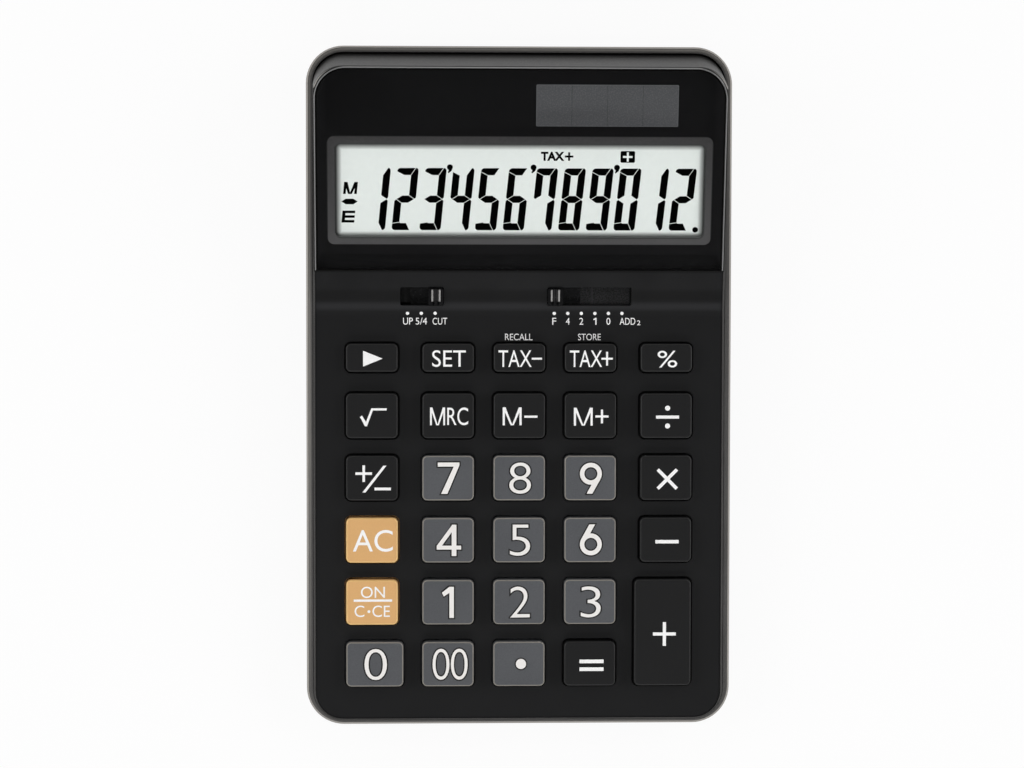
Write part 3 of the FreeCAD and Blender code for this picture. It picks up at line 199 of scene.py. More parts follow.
class Finishes(bpy.types.PropertyGroup):
    """Colours of the finishes."""

    case: colour("Case", "Dark grey moulding with a metallic fleck", 0.082, 0.080, 0.078)
    # Painted highlight on the case's rounded edges and lip
    case_edge: colour("Case edge", "Highlit edge of the case", 0.30, 0.285, 0.265)
    # Painted highlight round the lens
    seal: colour("Seal", "Bright line round the lens", 0.29, 0.29, 0.29)
    panel: colour("Keypad panel", "Black sheet", 0.0076, 0.0077, 0.0083)
    print: colour("Print", "Black print under the lens", 0.0102, 0.0102, 0.0107)
    bezel: colour("Display frame", "Grey frame round the display", 0.060, 0.059, 0.060)
    cell: colour("Display cell", "Reflective display behind glass", 0.840, 0.890, 0.860)
    segment: colour("Segments", "Dark segments of the display", 0.0, 0.0, 0.0)
    solar: colour("Solar cell", "Coated glass", 0.078, 0.080, 0.084)
    number_key: colour("Number keys", "Dark grey plastic", 0.083, 0.086, 0.093)
    # The key edge colours are painted highlights on the keys' roundings
    number_edge: colour("Number key edges", "Highlit edges", 0.23, 0.215, 0.19)
    clear_key: colour("Clear keys", "Tan orange plastic", 0.700, 0.405, 0.165)
    clear_edge: colour("Clear key edges", "Highlit edges", 0.80, 0.53, 0.21)
    function_key: colour("Function keys", "Black plastic", 0.0066, 0.0066, 0.0070)
    function_edge: colour("Function key edges", "Highlit edges", 0.015, 0.015, 0.015)
    lens_edge: colour("Lens edge", "Cut edge of the lens", 0.004, 0.004, 0.004)
    white_ink: colour("White ink", "Legends", 0.93, 0.925, 0.92)
    number_ink: colour("Number ink", "Digits on the number keys", 0.86, 0.835, 0.81)
    edge_ink: colour("Edge ink", "Dark edge round the numbers", 0.006, 0.005, 0.0045)
    knob: colour("Knobs", "Polished black", 0.0045, 0.0045, 0.005)
    # Painted highlight on the knobs' grip flanks
    grip: colour("Grip", "Bright flanks of a knob's grip", 0.42, 0.41, 0.40)
    rubber: colour("Keypad mat", "Grey silicone", 0.30, 0.30, 0.29)
    feet: colour("Feet", "Black rubber", 0.018, 0.018, 0.018)
    board: colour("Board", "Black solder mask", 0.006, 0.007, 0.0065)
    copper: colour("Copper", "Tracks under the solder mask", 0.009, 0.011, 0.010)
    carbon: colour("Carbon pad", "Printed carbon under the longer slide", 0.068, 0.068, 0.070)
    resin: colour("Resin", "Black sealing over the controller", 0.008, 0.008, 0.009)
    steel: colour("Steel", "Plated steel", 0.62, 0.61, 0.59)


class StageSizes(bpy.types.PropertyGroup):
    """Floor, lamps and camera."""

    floor: length("Floor", "Side of the floor", 6000)
    floor_colour: colour("Floor colour", "Plain pale floor", 0.86, 0.86, 0.86)
    floor_glow: share("Floor glow", "How far the seen floor is lifted towards white", 0.92)
    sky: share("Sky", "Strength of the light from overhead", 0.05)
    horizon: share("Horizon", "Strength of the light from all round, low down", 0.95)
    sky_low: angle("Sky low", "Height up to which the light from all round reaches", 12)
    sky_high: angle("Sky high", "Height from which only the light from overhead is left", 42)
    side_lamp: power("Side lamps", "Power of each side lamp", 5.6)
    back_lamp: power("Back lamp", "Power of the lamp behind", 1.9)
    front_lamp: power("Front lamp", "Power of the lamp before the desk", 5.0)
    strip_lamp: power("Strip lamp", "Power of the strip over the front", 0.8)
    lens: number("Camera lens", "Focal length in millimetres", 94.62)
    sensor: number("Camera sensor", "Width of the sensor in millimetres", 36.0)
    eye: FloatVectorProperty(name="Camera", description="Where the camera hangs", subtype="TRANSLATION",
                             unit="LENGTH", default=(-0.02797, -0.01399, 0.70016))
    aim: FloatVectorProperty(name="Camera turn", description="How the camera is turned", subtype="EULER",
                             default=[math.radians(turn) for turn in (1.231, -2.190, -0.052)])


class CalculatorLooks(bpy.types.PropertyGroup):
    """Everything that can be changed."""

    surfaces: PointerProperty(type=SurfaceSizes)
    marks: PointerProperty(type=MarkSizes)
    legends: PointerProperty(type=LegendSizes)
    display: PointerProperty(type=DisplaySizes)
    finishes: PointerProperty(type=Finishes)
    stage: PointerProperty(type=StageSizes)


def looks():
    return bpy.context.scene.calculator_looks


# ---- the two surfaces

def deck_plane():
    """Place of the keypad surface's own frame: X across, Y up the keypad, Z out of it."""
    sizes = looks().surfaces
    return at(0, 0, sizes.deck_height) @ Matrix.Rotation(sizes.deck_slope, 4, "X")


def display_plane():
    """Place of the display surface's own frame, its origin on the bend line."""
    sizes = looks().surfaces
    return deck_plane() @ at(0, sizes.bend_line) @ Matrix.Rotation(sizes.display_tilt, 4, "X")


def extent(node, plane):
    """Lowest and highest corner of a CAD node in a surface's frame."""
    to_plane = plane.inverted()
    points = [to_plane @ vertex.co for vertex in frame["nodes"][node].data.vertices]
    return [Vector([pick(point[axis] for point in points) for axis in range(3)]) for pick in (min, max)]


# ---- flat figures

def flat(corners):
    """A figure from its corners."""
    figure = bmesh.new()
    figure.faces.new([figure.verts.new((x, y, 0)) for x, y in corners])
    figure.normal_update()
    return figure


def moved(figure, place):
    bmesh.ops.transform(figure, matrix=place, verts=figure.verts)
    return figure


def at(x, y, z=0.0):
    return Matrix.Translation((x, y, z))


def leaning(slant):
    """A shear that leans figures to the right."""
    lean = Matrix.Identity(4)
    lean[0][1] = math.tan(slant)
    return lean


def in_millimetres(draw):
    """A drawing function that takes its plain sizes in millimetres."""
    def drawn(*sizes, **named):
        return draw(*(size if isinstance(size, str) else size * MM for size in sizes), **named)
    return drawn


def bar(width, height, x=0.0, y=0.0, turn=0.0):
    """An upright or turned rectangle round its middle."""
    figure = bmesh.new()
    bmesh.ops.create_grid(figure, x_segments=1, y_segments=1, size=0.5)
    return moved(figure, at(x, y) @ Matrix.Rotation(turn, 4, "Z") @ Matrix.Diagonal((width, height, 1, 1)))


def cross(size, stroke, x=0.0, y=0.0):
    return [bar(size, stroke, x, y), bar(stroke, size, x, y)]


def disc(diameter, x=0.0, y=0.0):
    figure = bmesh.new()
    bmesh.ops.create_circle(figure, cap_ends=True, segments=DISC_STEPS, radius=diameter / 2)
    return moved(figure, at(x, y))


def softened(figure, corners, radius, segments):
    """Rounds the picked corners of a flat figure."""
    bmesh.ops.bevel(figure, geom=corners, offset=radius, offset_type="OFFSET", segments=segments, profile=0.5,
                    affect="VERTICES", material=-1)
    return figure


def letters(text, width, height, x=0.0, y=0.0, weight=0.0, margin=0.0):
    """Text fitted to a width and a height round its middle; margin draws it larger all round."""
    curve = bpy.data.curves.new("letters", "FONT")
    curve.body = text
    curve.resolution_u = CURVE_STEPS
    holder = bpy.data.objects.new("letters", curve)

    def drawn(growth):
        curve.offset = growth
        figure = bmesh.new()
        mesh = bpy.data.meshes.new_from_object(holder)
        figure.from_mesh(mesh)
        bpy.data.meshes.remove(mesh)
        bmesh.ops.remove_doubles(figure, verts=figure.verts, dist=WELD)
        return figure

    plain = drawn(weight)
    low, high = [Vector([pick(v.co[axis] for v in plain.verts) for axis in range(2)]) for pick in (min, max)]
    scale = Vector((width / (high.x - low.x), height / (high.y - low.y)))
    if margin:
        plain.free()
        plain = drawn(weight + margin * 2 / (scale.x + scale.y))
    middle = (low + high) / 2
    fit = at(x, y) @ Matrix.Diagonal((scale.x, scale.y, 1, 1)) @ at(-middle.x, -middle.y)
    bpy.data.objects.remove(holder)
    bpy.data.curves.remove(curve)
    return moved(plain, fit)


def say(text, left, right, low, high, weight=0.0):
    """A word between two sides and two levels, in millimetres."""
    return letters_mm(text, right - left, high - low, (left + right) / 2, (low + high) / 2, weight=weight)


def outline(*corners, margin=0.0):
    """A figure from corners in millimetres, made larger all round by a margin."""
    points = [Vector(corner) * MM for corner in corners]
    area = sum(here.x * after.y - after.x * here.y for here, after in zip(points, points[1:] + points[:1]))
    outward = math.copysign(margin, area)
    grown = []
    for before, here, after in zip(points[-1:] + points[:-1], points, points[1:] + points[:1]):
        first, second = [Vector((way.y, -way.x)).normalized() for way in (here - before, after - here)]
        grown.append(here + (first + second) * outward / max(MITRE_LIMIT, 1 + first.dot(second)))
    return flat(grown)


def ring(outside, inside, x, y, margin=0.0):
    """A flat ring, its sizes in millimetres, made wider by a margin."""
    figure = bmesh.new()
    for radius in (outside * MM + margin, inside * MM - margin):
        bmesh.ops.create_circle(figure, segments=RING_STEPS, radius=radius)
    bmesh.ops.bridge_loops(figure, edges=figure.edges)
    figure.normal_update()
    return moved(figure, at(x * MM, y * MM))


def four(margin):
    """A 4 of straight bars."""
    return [outline((0.7, -4.0), (1.9, -4.0), (1.9, 4.0), (0.7, 4.0), margin=margin),
            outline((-3.1, -2.35), (3.1, -2.35), (3.1, -1.35), (-3.1, -1.35), margin=margin),
            outline((0.85, 4.0), (-3.1, -1.4), (-1.8, -1.4), (0.8, 2.2), margin=margin)]


def seven(margin):
    """A 7 whose foot leans."""
    return [outline((-2.85, 4.0), (-2.85, 2.95), (1.2, 2.95), (-2.0, -4.0), (-0.4, -4.0), (2.65, 3.3),
                    (2.65, 4.0), margin=margin)]


def six(margin):
    """A 6 of a ring and a leaning stem."""
    return [ring(2.80, 1.66, -0.03, -1.1, margin),
            outline((-0.42, 4.0), (-2.52, 0.2), (-1.9, -0.3), (-0.6, 0.95), (1.05, 4.0), margin=margin)]


def nine(margin):
    """A 6 turned half round."""
    return [moved(part, at(-0.1 * MM, 0) @ Matrix.Rotation(math.pi, 4, "Z")) for part in six(margin)]


def figure_one(width, height, stroke, x=0.0, y=0.0):
    """A one with a flag, round its middle."""
    right, left, high = width / 2, -width / 2, height / 2
    return moved(flat([(left, high * 0.62), (right - stroke, high), (right, high), (right, -high),
                       (right - stroke, -high), (right - stroke, high - 1.35 * stroke),
                       (left + 0.42 * stroke, high * 0.62 - 0.85 * stroke)]), at(x, y))


def letter_e(width, height, stroke, x=0.0, y=0.0):
    """An E of straight bars, round its middle."""
    arm, side, high = 0.8 * stroke, width / 2, height / 2
    arms = [bar(width, arm, 0, level) for level in (high - arm / 2, 0, arm / 2 - high)]
    return [moved(part, at(x, y)) for part in [bar(stroke, height, stroke / 2 - side), *arms]]


def letter_m(width, height, stroke, x=0.0, y=0.0):
    """An M whose middle reaches its foot, round its middle."""
    side, high = width / 2, height / 2
    legs = [bar(stroke, height, way * (side - stroke / 2)) for way in (-1, 1)]
    slopes = [flat([(way * side, high), (way * (side - 1.3 * stroke), high), (-way * 0.15 * stroke, -high),
                    (way * 0.7 * stroke, -high)]) for way in (-1, 1)]
    return [moved(part, at(x, y)) for part in legs + slopes]


bar_mm, disc_mm, cross_mm, letters_mm, letter_m_mm, letter_e_mm = [
    in_millimetres(draw) for draw in (bar, disc, cross, letters, letter_m, letter_e)]
STROKES = {"four": four, "six": six, "seven": seven, "nine": nine}
LETTERED = {"zero": 5.7, "two": 5.05, "three": 5.1, "five": 5.15, "eight": 5.5}


def digit(key, margin=0.0):
    """A number key's digit, grown all round by a margin."""
    legends = looks().legends
    both, height = 2 * margin, legends.digit_height
    if key in STROKES:
        return STROKES[key](margin)
    if key == "one":
        return [figure_one(3.05 * MM + both, height + both, 1.15 * MM + both, -0.25 * MM)]
    if key == "point":
        return [disc(2.6 * MM + both, 0.3 * MM)]
    if key == "double_zero":
        return [letters("0", 4.3 * MM, height, x * MM, 0, legends.digit_weight, margin) for x in (-2.0, 2.65)]
    text = str(NUMBERS.index(key))
    return [letters(text, LETTERED[key] * MM, height, weight=legends.digit_weight, margin=margin)]


def settled(name, figure, *materials):
    """A mesh from a finished figure."""
    mesh = bpy.data.meshes.new(name)
    figure.to_mesh(mesh)
    figure.free()
    for material in materials:
        mesh.materials.append(material)
    return mesh


def linked(name, data):
    """A new object in the scene."""
    made = bpy.data.objects.new(name, data)
    bpy.context.scene.collection.objects.link(made)
    return made


def joined(figures):
    """One figure of several."""
    whole = bmesh.new()
    for figure in figures:
        mesh = settled("figure", figure)
        whole.from_mesh(mesh)
        bpy.data.meshes.remove(mesh)
    return whole


def gathered(figures, thickness, material=0):
    """Flat figures raised to closed bodies, neighbours a hair apart in height so that they may overlap."""
    whole = joined([moved(figure, at(0, 0, place % LEVELS * HAIR)) for place, figure in enumerate(figures)])
    raised = bmesh.ops.extrude_face_region(whole, geom=whole.verts[:] + whole.edges[:] + whole.faces[:],
                                           use_keep_orig=True)
    tops = [element for element in raised["geom"] if isinstance(element, bmesh.types.BMVert)]
    bmesh.ops.translate(whole, verts=tops, vec=(0, 0, thickness))
    bmesh.ops.recalc_face_normals(whole, faces=whole.faces)
    for face in whole.faces:
        face.smooth = False
        face.material_index = material
    return whole


def piece(name, bodies, place, body, materials):
    """One object from bodies drawn in a surface's frame, riding on a CAD body."""
    made = linked(name, settled(name, moved(joined(bodies), place), *materials))
    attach(made, body)


# ---- materials

FACTOR, FIRST, SECOND, BLENDED = 0, 6, 7, 2
# Bands of facing: painted highlights lie on the case's and the keys' roundings and on the knobs' flanks; the
# lens's bevel takes its dark cut edge.
CASE_ROUNDING = (0.55, 0.65, 0.78, 0.86)
LENS_BEVEL = (0.40, 0.50, 0.86, 0.92)
KEY_ROUNDING = (0.20, 0.45, 0.90, 0.985)
KNOB_FLANK = (0.50, 0.55, 0.85, 0.90)


def either_way(operation):
    """An operator of a signal and its reflected twin."""
    return (lambda self, other: self.maths(operation, self, other),
            lambda self, other: self.maths(operation, other, self))


class Signal:
    """A node's output, on which sums and masks are written as expressions."""

    def __init__(self, tree, socket):
        self.tree = tree
        self.socket = socket

    def maths(self, operation, first, second=None):
        """One sum, with one value or two."""
        values = {0: first} if second is None else {0: first, 1: second}
        return self.tree.node("Math", {"operation": operation}, values)

    def __abs__(self):
        return self.maths("ABSOLUTE", self)

    __add__, __radd__ = either_way("ADD")
    __sub__, __rsub__ = either_way("SUBTRACT")
    __mul__, __rmul__ = either_way("MULTIPLY")
    __truediv__, __rtruediv__ = either_way("DIVIDE")
    __pow__, __rpow__ = either_way("POWER")
    over = either_way("MAXIMUM")[0]     # the larger of two
    under = either_way("MINIMUM")[0]    # the smaller of two


class Tree:
    """A node tree while its nodes are laid."""

    def __init__(self, tree):
        self.tree = tree
        self.tree.nodes.clear()

    def node(self, kind, settings=None, values=None, output=0):
        """Lays a node, sets its settings and then its sockets, and returns one of its outputs."""
        made = self.tree.nodes.new("ShaderNode" + kind)
        for key, value in (settings or {}).items():
            setattr(made, key, value)
        for key, value in (values or {}).items():
            if isinstance(value, Signal):
                self.tree.links.new(value.socket, made.inputs[key])
            else:
                made.inputs[key].default_value = value
        return Signal(self, made.outputs[output]) if len(made.outputs) else None

    def place(self, plane=None):
        """Coordinates on the object, or in a surface's frame."""
        where = self.node("TexCoord", output="Object")
        if plane is None:
            return where
        return self.node("Mapping", {"vector_type": "TEXTURE"}, {
            "Vector": where, "Location": plane.to_translation(), "Rotation": plane.to_euler()})

    def parts(self, vector):
        """X, Y and Z of a vector."""
        split = self.node("SeparateXYZ", values={0: vector}).socket.node
        return [Signal(self, socket) for socket in split.outputs]

    def across(self, plane=None):
        """How far a point lies across and up a surface's frame."""
        return self.parts(self.place(plane))[:2]

    def facing(self, plane):
        """How squarely a face looks out of a surface: 1 along it, 0 for a wall."""
        return self.node("VectorMath", {"operation": "DOT_PRODUCT"}, {
            0: self.node("NewGeometry", output="Normal"), 1: plane.to_3x3() @ Vector((0, 0, 1))}, "Value")

    def noise(self, scale, detail=2.0, roughness=0.5, where=None):
        """Noise from 0 to 1, its scale in waves to the metre."""
        return self.node("TexNoise", values={
            "Vector": where or self.place(), "Scale": scale, "Detail": detail, "Roughness": roughness},
            output="Fac")

    def grade(self, value, low, high, to_low=0.0, to_high=1.0):
        """Value from low to high, spread over a new range and kept within it."""
        return self.node("MapRange", values={
            "Value": value, "From Min": low, "From Max": high, "To Min": to_low, "To Max": to_high},
            output="Result")

    def step(self, value, level, fade):
        """0 below a level and 1 above it, over a short fade; a fade below nothing turns it round."""
        return self.grade(value, level - fade / 2, level + fade / 2)

    def band(self, value, start, full, last, end):
        """1 from full to last, and 0 before start and after end."""
        return self.grade(value, start, full) * self.grade(value, end, last)

    def vary(self, noise, low=0.0, high=1.0, tail=0.3):
        """Noise spread over a range, its tails cut off."""
        return self.grade(noise, tail, 1 - tail, low, high)

    def mix(self, factor, first, second):
        """A colour between two."""
        return self.node("Mix", {"data_type": "RGBA"}, {
            FACTOR: factor, FIRST: rgba(first), SECOND: rgba(second)}, BLENDED)

    def tinted(self, noise, base, spread, tail=0.3):
        """A colour that drifts by a share to either side."""
        return self.mix(self.vary(noise, tail=tail), scaled(base, 1 - spread), scaled(base, 1 + spread))

    def bump(self, height, depth):
        """Normals from a height of 0 to 1, its depth in metres."""
        return self.node("Bump", values={"Height": height, "Distance": depth})


class Finish(Tree):
    """A material while its nodes are laid."""

    def __init__(self, name):
        self.material = bpy.data.materials.new(name)
        self.material.use_nodes = True
        super().__init__(self.material.node_tree)

    def surface(self, **values):
        """The finished surface: names of the shader's sockets, with _ for a space."""
        return self.node("BsdfPrincipled", values={key.replace("_", " "): values[key] for key in values})

    def done(self, shader):
        self.node("OutputMaterial", values={"Surface": shader})
        return self.material

    def made(self, tone, noise, roughness, relief=None, depth=0.0, specular=0.5, metallic=0.0, swing=0.04):
        """The material of one surface: its colour, a roughness that swings with noise, and a relief."""
        values = {} if relief is None else {"Normal": self.bump(relief, depth)}
        return self.done(self.surface(
            Base_Color=tone, Roughness=self.vary(noise, roughness - swing, roughness + swing),
            Specular_IOR_Level=specular, Metallic=metallic, **values))


def rgba(value):
    return value if isinstance(value, Signal) else (*value, 1.0)


def scaled(value, by):
    return tuple(min(1.0, part * by) for part in value)


def middle_and_half(low, high):
    """Middle and half size of the rectangle between two corners."""
    return ((low.x + high.x) / 2, (low.y + high.y) / 2, (high.x - low.x) / 2, (high.y - low.y) / 2)


def rounded_distance(x, y, rectangle, radius):
    """Distance from a rounded rectangle, less than nothing inside it."""
    middle_x, middle_y, half_x, half_y = rectangle
    across = abs(x - middle_x) - (half_x - radius)
    along = abs(y - middle_y) - (half_y - radius)
    outside = (across.over(0.0) ** 2.0 + along.over(0.0) ** 2.0) ** 0.5
    return outside + across.over(along).under(0.0) - radius


def moulded(name, base, roughness, grain, depth, spread=0.12, specular=0.5):
    """Moulded plastic: a fine etched grain, and colour and gloss that drift a little over the surface."""
    finish = Finish(name)
    drift = finish.noise(90.0, 3.0)
    fine = finish.noise(grain, 2.0, 0.6)
    tone = finish.tinted(drift * 0.5 + fine * 0.5, base, spread, 0.35)
    return finish.made(tone, drift, roughness, fine, depth, specular)


def ink_material(name, base, specular=0.3):
    """Printed ink, a little uneven."""
    return moulded(name, base, 0.45, 3000.0, 0.004 * MM, 0.02, specular)


def case_material():
    """Dark grey moulding with a fine metallic fleck, painted highlights on its edges, painted shade on its
    back, and painted shadow and highlight lines round the lens.
    """
    colours, sizes, marks = looks().finishes, looks().surfaces, looks().marks
    finish = Finish("case moulding")
    grain = finish.noise(2600.0, 2.0, 0.6)
    drift = finish.noise(60.0, 3.0) * 0.4 + grain * 0.6
    cells = finish.node("TexVoronoi", values={"Vector": finish.place(), "Scale": 9000.0}, output="Color")
    fleck = finish.grade(finish.parts(cells)[0], 0.65, 1.0)
    tone = finish.mix(fleck * 0.35, finish.tinted(drift, colours.case, 0.16, 0.35), scaled(colours.case, 2.2))

    facing = finish.facing(deck_plane())
    # Painted highlight on the case's rounded edges.
    tone = finish.mix(finish.band(facing, *CASE_ROUNDING), tone, colours.case_edge)
    x, y = finish.across()
    rim = rounded_distance(x, y, middle_and_half(*extent("rear_case", Matrix.Identity(4))), sizes.case_corner)
    # Painted highlight on the lip, stronger towards the left and the back, where the light falls.
    lip_start, lip_full, lip_fade, lip_end = marks.lip
    lip = finish.grade(rim, lip_start, lip_full) ** 2.0 * finish.grade(rim, lip_end, lip_fade)
    side = finish.grade(x - y, 40 * MM, -40 * MM, 0.05, 0.75)
    tone = finish.mix(lip * finish.grade(facing, 0.9, 0.97) * side, tone, colours.case_edge)
    # Painted shade on the back of the case, in the groove behind the lip.
    back = finish.facing(Matrix.Rotation(-math.pi / 2, 4, "X"))
    hump = finish.grade(back, 0.3, 0.6) * finish.grade(facing, 0.06, 0.14)
    hump_full, hump_end = marks.hump
    hump *= finish.grade(rim, hump_end, hump_full)
    tone = finish.mix(hump, tone, scaled(colours.case, 0.2))

    # Painted shadow line, painted highlight and painted shade on the case round the lens.
    x, y = finish.across(display_plane())
    low, high = extent("display_lens", display_plane())
    seal = rounded_distance(x, y, (0.0, high.y / 2, high.x, high.y / 2), sizes.lens_corner)
    dark_end, bright_end, seal_end = marks.seal
    beside = finish.step(y, low.y - marks.seal_foot, 0.15 * MM) * finish.grade(facing, 0.4, 0.6)
    line = finish.mix(finish.step(seal, dark_end, 0.06 * MM), scaled(colours.print, 0.4), colours.seal)
    line = finish.mix(finish.step(seal, bright_end, 0.06 * MM), line, scaled(colours.case, 0.15))
    tone = finish.mix(beside * finish.step(seal, seal_end, -0.08 * MM), tone, line)
    metal = (0.6 + fleck * 0.3).over(beside * finish.step(seal, dark_end, -0.06 * MM))
    return finish.made(tone, grain, 0.39, grain, 0.012 * MM, metallic=metal, swing=0.05)


def lens_material():
    """Clear polished plastic, as glossy as its angle makes it, dark along its cut edge."""
    finish = Finish("clear lens")
    edge_on = finish.node("LayerWeight", values={"Blend": 0.5}, output="Facing")
    inside = finish.node("NewGeometry", output="Backfacing")
    gloss = (0.02 + edge_on ** 5.0 * 0.98) * (1 - inside)
    clear = finish.node("BsdfTransparent", values={"Color": WHITE})
    smear = finish.grade(finish.noise(45.0, 3.0), 0.35, 0.7, 0.015, 0.04)
    shine = finish.node("BsdfGlossy", values={"Color": WHITE, "Roughness": smear})
    sheet = finish.node("MixShader", values={0: gloss, 1: clear, 2: shine})
    cut = finish.surface(Base_Color=rgba(looks().finishes.lens_edge), Specular_IOR_Level=0.2,
                         Roughness=finish.vary(finish.noise(400.0, 2.0), 0.30, 0.40))
    bevel = finish.band(finish.facing(display_plane()), *LENS_BEVEL)
    return finish.done(finish.node("MixShader", values={0: bevel * 0.9, 1: sheet, 2: cut}))


def window_print(finish, x, y):
    """The display's ground with painted shade round its opening, and the distance from that opening."""
    cell, sizes = looks().finishes.cell, looks().display
    distance = rounded_distance(x, y, sizes.window, sizes.corner)
    ground = finish.tinted(finish.noise(900.0), cell, 0.015)
    # Painted shade, from the opening's edge inwards.
    shade = finish.grade(distance, *looks().marks.shade) * 0.98
    return finish.mix(shade, ground, scaled(cell, 0.02)), distance


def cell_material():
    """Reflective display, pale green grey, with painted shade round its opening."""
    finish = Finish("display cell")
    tone = window_print(finish, *finish.across(display_plane()))[0]
    return finish.made(tone, finish.noise(900.0), 0.34, specular=0.3)


def bezel_material():
    """Grey frame, with painted shade that darkens it towards the back, parted from the display by a painted
    shadow line, inside which it takes the display's ground and painted shade.
    """
    colours, sizes = looks().finishes, looks().display
    finish = Finish("frame plastic")
    x, y = finish.across(display_plane())
    grain = finish.noise(1500.0)
    near, far, fleck = [scaled(colours.bezel, by) for by in (1.18, 0.58, 2.0)]
    # Painted shade: the frame darkens towards the back.
    grey = finish.mix(finish.grade(y, *looks().marks.frame_fall), near, far)
    grey = finish.mix(finish.vary(grain) * 0.1, grey, fleck)
    # Painted shadow line at the opening; within it the frame's inner edge is painted with the display's
    # ground and painted shade.
    ground, distance = window_print(finish, x, y)
    tone = finish.mix(finish.step(distance, 0.12 * MM, 0.12 * MM), ground, grey)
    outer = rounded_distance(x, y, sizes.frame, sizes.corner)
    tone = finish.mix(finish.step(outer, 0.0, 0.06 * MM), tone, colours.print)
    return finish.made(tone, grain, 0.46, grain, 0.006 * MM, 0.3)


def print_material():
    """Black print, with painted shade that deepens it towards the back, and painted light that makes it paler
    towards the sheet and the sides, against the shadow of the rim round the lens.
    """
    black, marks = looks().finishes.print, looks().marks
    finish = Finish("black print")
    x, y = finish.across(display_plane())
    # Painted shade towards the back.
    tone = finish.mix(finish.grade(y, *marks.print_fall), black, scaled(black, 0.72))
    # Painted light towards the sheet and the sides.
    foot, side = 1 - finish.grade(y, *marks.print_foot), finish.grade(abs(x), *marks.print_side)
    pale = foot.over(side * 0.6)
    tone = finish.mix(pale, tone, scaled(black, 1.8))
    return finish.made(tone, finish.noise(1800.0), 0.35, specular=0.0)


def solar_material():
    """Four dark fields on glass, parted by thin lines and bordered by bright ones."""
    solar, marks = looks().finishes.solar, looks().marks
    finish = Finish("solar cell")
    where = finish.place(display_plane())
    x, y = finish.parts(where)[:2]
    low, high = extent("solar_cell", display_plane())
    pitch = (high.x - low.x) / SOLAR_FIELDS
    along = (x - low.x) / pitch
    line = abs(along - along.maths("ROUND", along)) * pitch
    grain = finish.noise(3200.0, 1.0, where=where)
    tone = finish.mix(finish.step(line, marks.line_half, -0.07 * MM) * 0.7, finish.tinted(grain, solar, 0.05),
                      scaled(solar, 0.45))
    distance = rounded_distance(x, y, middle_and_half(low, high), 0.05 * MM)
    tone = finish.mix(finish.step(distance, -marks.border, 0.1 * MM) * 0.8, tone, scaled(solar, 1.5))
    return finish.made(tone, grain, 0.26, specular=0.2)


def key_material(name, base, edge, roughness, depth, spread, specular):
    """Key plastic, with a painted highlight along the rounding of its upper edge."""
    finish = Finish(name)
    grain = finish.noise(3000.0, 2.0, 0.6)
    drift = finish.noise(70.0)
    # Painted highlight along the rounding of the key's upper edge.
    edge_highlight = finish.band(finish.facing(deck_plane()), *KEY_ROUNDING)
    tone = finish.mix(edge_highlight, finish.tinted(grain * 0.6 + drift * 0.4, base, spread, 0.35), edge)
    return finish.made(tone, drift, roughness, grain, depth, specular)


def panel_material():
    """Matt black sheet, with a painted highlight on the near side of its bend, painted shade beyond it, and
    the flat part painted a little darker.
    """
    black, marks = looks().finishes.panel, looks().marks
    finish = Finish("panel sheet")
    y = finish.across(deck_plane())[1]
    fine = finish.noise(2400.0, 2.0, 0.6)
    drift = finish.noise(90.0, 3.0)
    tone = finish.tinted(drift * 0.5 + fine * 0.5, black, 0.12, 0.35)
    # Painted shade in the hollow of the bend.
    tone = finish.mix(finish.band(y, *marks.hollow) * 0.85, tone, scaled(black, 0.4))
    # Painted highlight along the crease of the bend.
    crease = 1 - finish.grade(abs(y - marks.crease), *marks.crease_width)
    tone = finish.mix(crease, tone, scaled(black, 2.35))
    # Painted shade: the flat keypad a little darker than the bend.
    tone = finish.mix(finish.step(y, marks.flat_end, -0.6 * MM) * 0.6, tone, scaled(black, 0.75))
    tone = finish.mix(finish.step(y, marks.joint, 0.15 * MM), tone, scaled(black, 0.1))
    return finish.made(tone, drift, 0.42, fine, 0.004 * MM, 0.22)


def knob_material(knob):
    """Polished black, with a painted highlight on the outer flanks of its grip."""
    colours = looks().finishes
    start, full, half = looks().marks.grip
    finish = Finish("knob plastic")
    x, y = finish.across(deck_plane())
    middle_x, middle_y = middle_and_half(*extent(knob, deck_plane()))[:2]
    # Painted highlight on the outer flanks of the grip.
    flank = finish.band(finish.facing(deck_plane()), *KNOB_FLANK)
    outer = finish.grade(abs(x - middle_x), start, full, 0.02, 1.0)
    along = abs(y - middle_y + 0.3 * MM)
    fine = finish.noise(1500.0)
    tone = finish.mix(flank * (finish.step(along, half, -0.3 * MM) * outer),
                      finish.tinted(fine, colours.knob, 0.1), colours.grip)
    return finish.made(tone, fine, 0.24, specular=0.3)


def board_material():
    """Black solder mask over upright copper tracks, with the carbon pad under the longer slide."""
    colours, marks = looks().finishes, looks().marks
    finish = Finish("circuit board")
    where = finish.place(deck_plane())
    x, y = finish.parts(where)[:2]
    grain = finish.noise(1500.0, where=where)
    speck = finish.noise(3000.0, 1.0, where=where)
    track = finish.step(x.maths("PINGPONG", x, marks.track), marks.track_gap, 0.06 * MM)
    # The board is darker under the shorter slide, and carries the carbon pad under the longer one.
    pad, bare = [finish.step(rounded_distance(x, y, place, 0.2 * MM), 0.0, -0.1 * MM)
                 for place in (marks.carbon, marks.bare)]
    seam = finish.step(abs(x - marks.carbon_seam), 0.12 * MM, -0.08 * MM)
    carbon = finish.mix(seam, finish.tinted(speck, colours.carbon, 0.5), scaled(colours.carbon, 1.7))
    tone = finish.mix(pad, finish.mix(track, colours.board, colours.copper), carbon)
    tone = finish.mix(bare, tone, scaled(colours.board, 0.3))
    relief = (track + grain * 0.1) * (1 - pad)
    return finish.made(tone, grain, 0.36 + pad * 0.3, relief, 0.02 * MM, 0.25, swing=0.06)


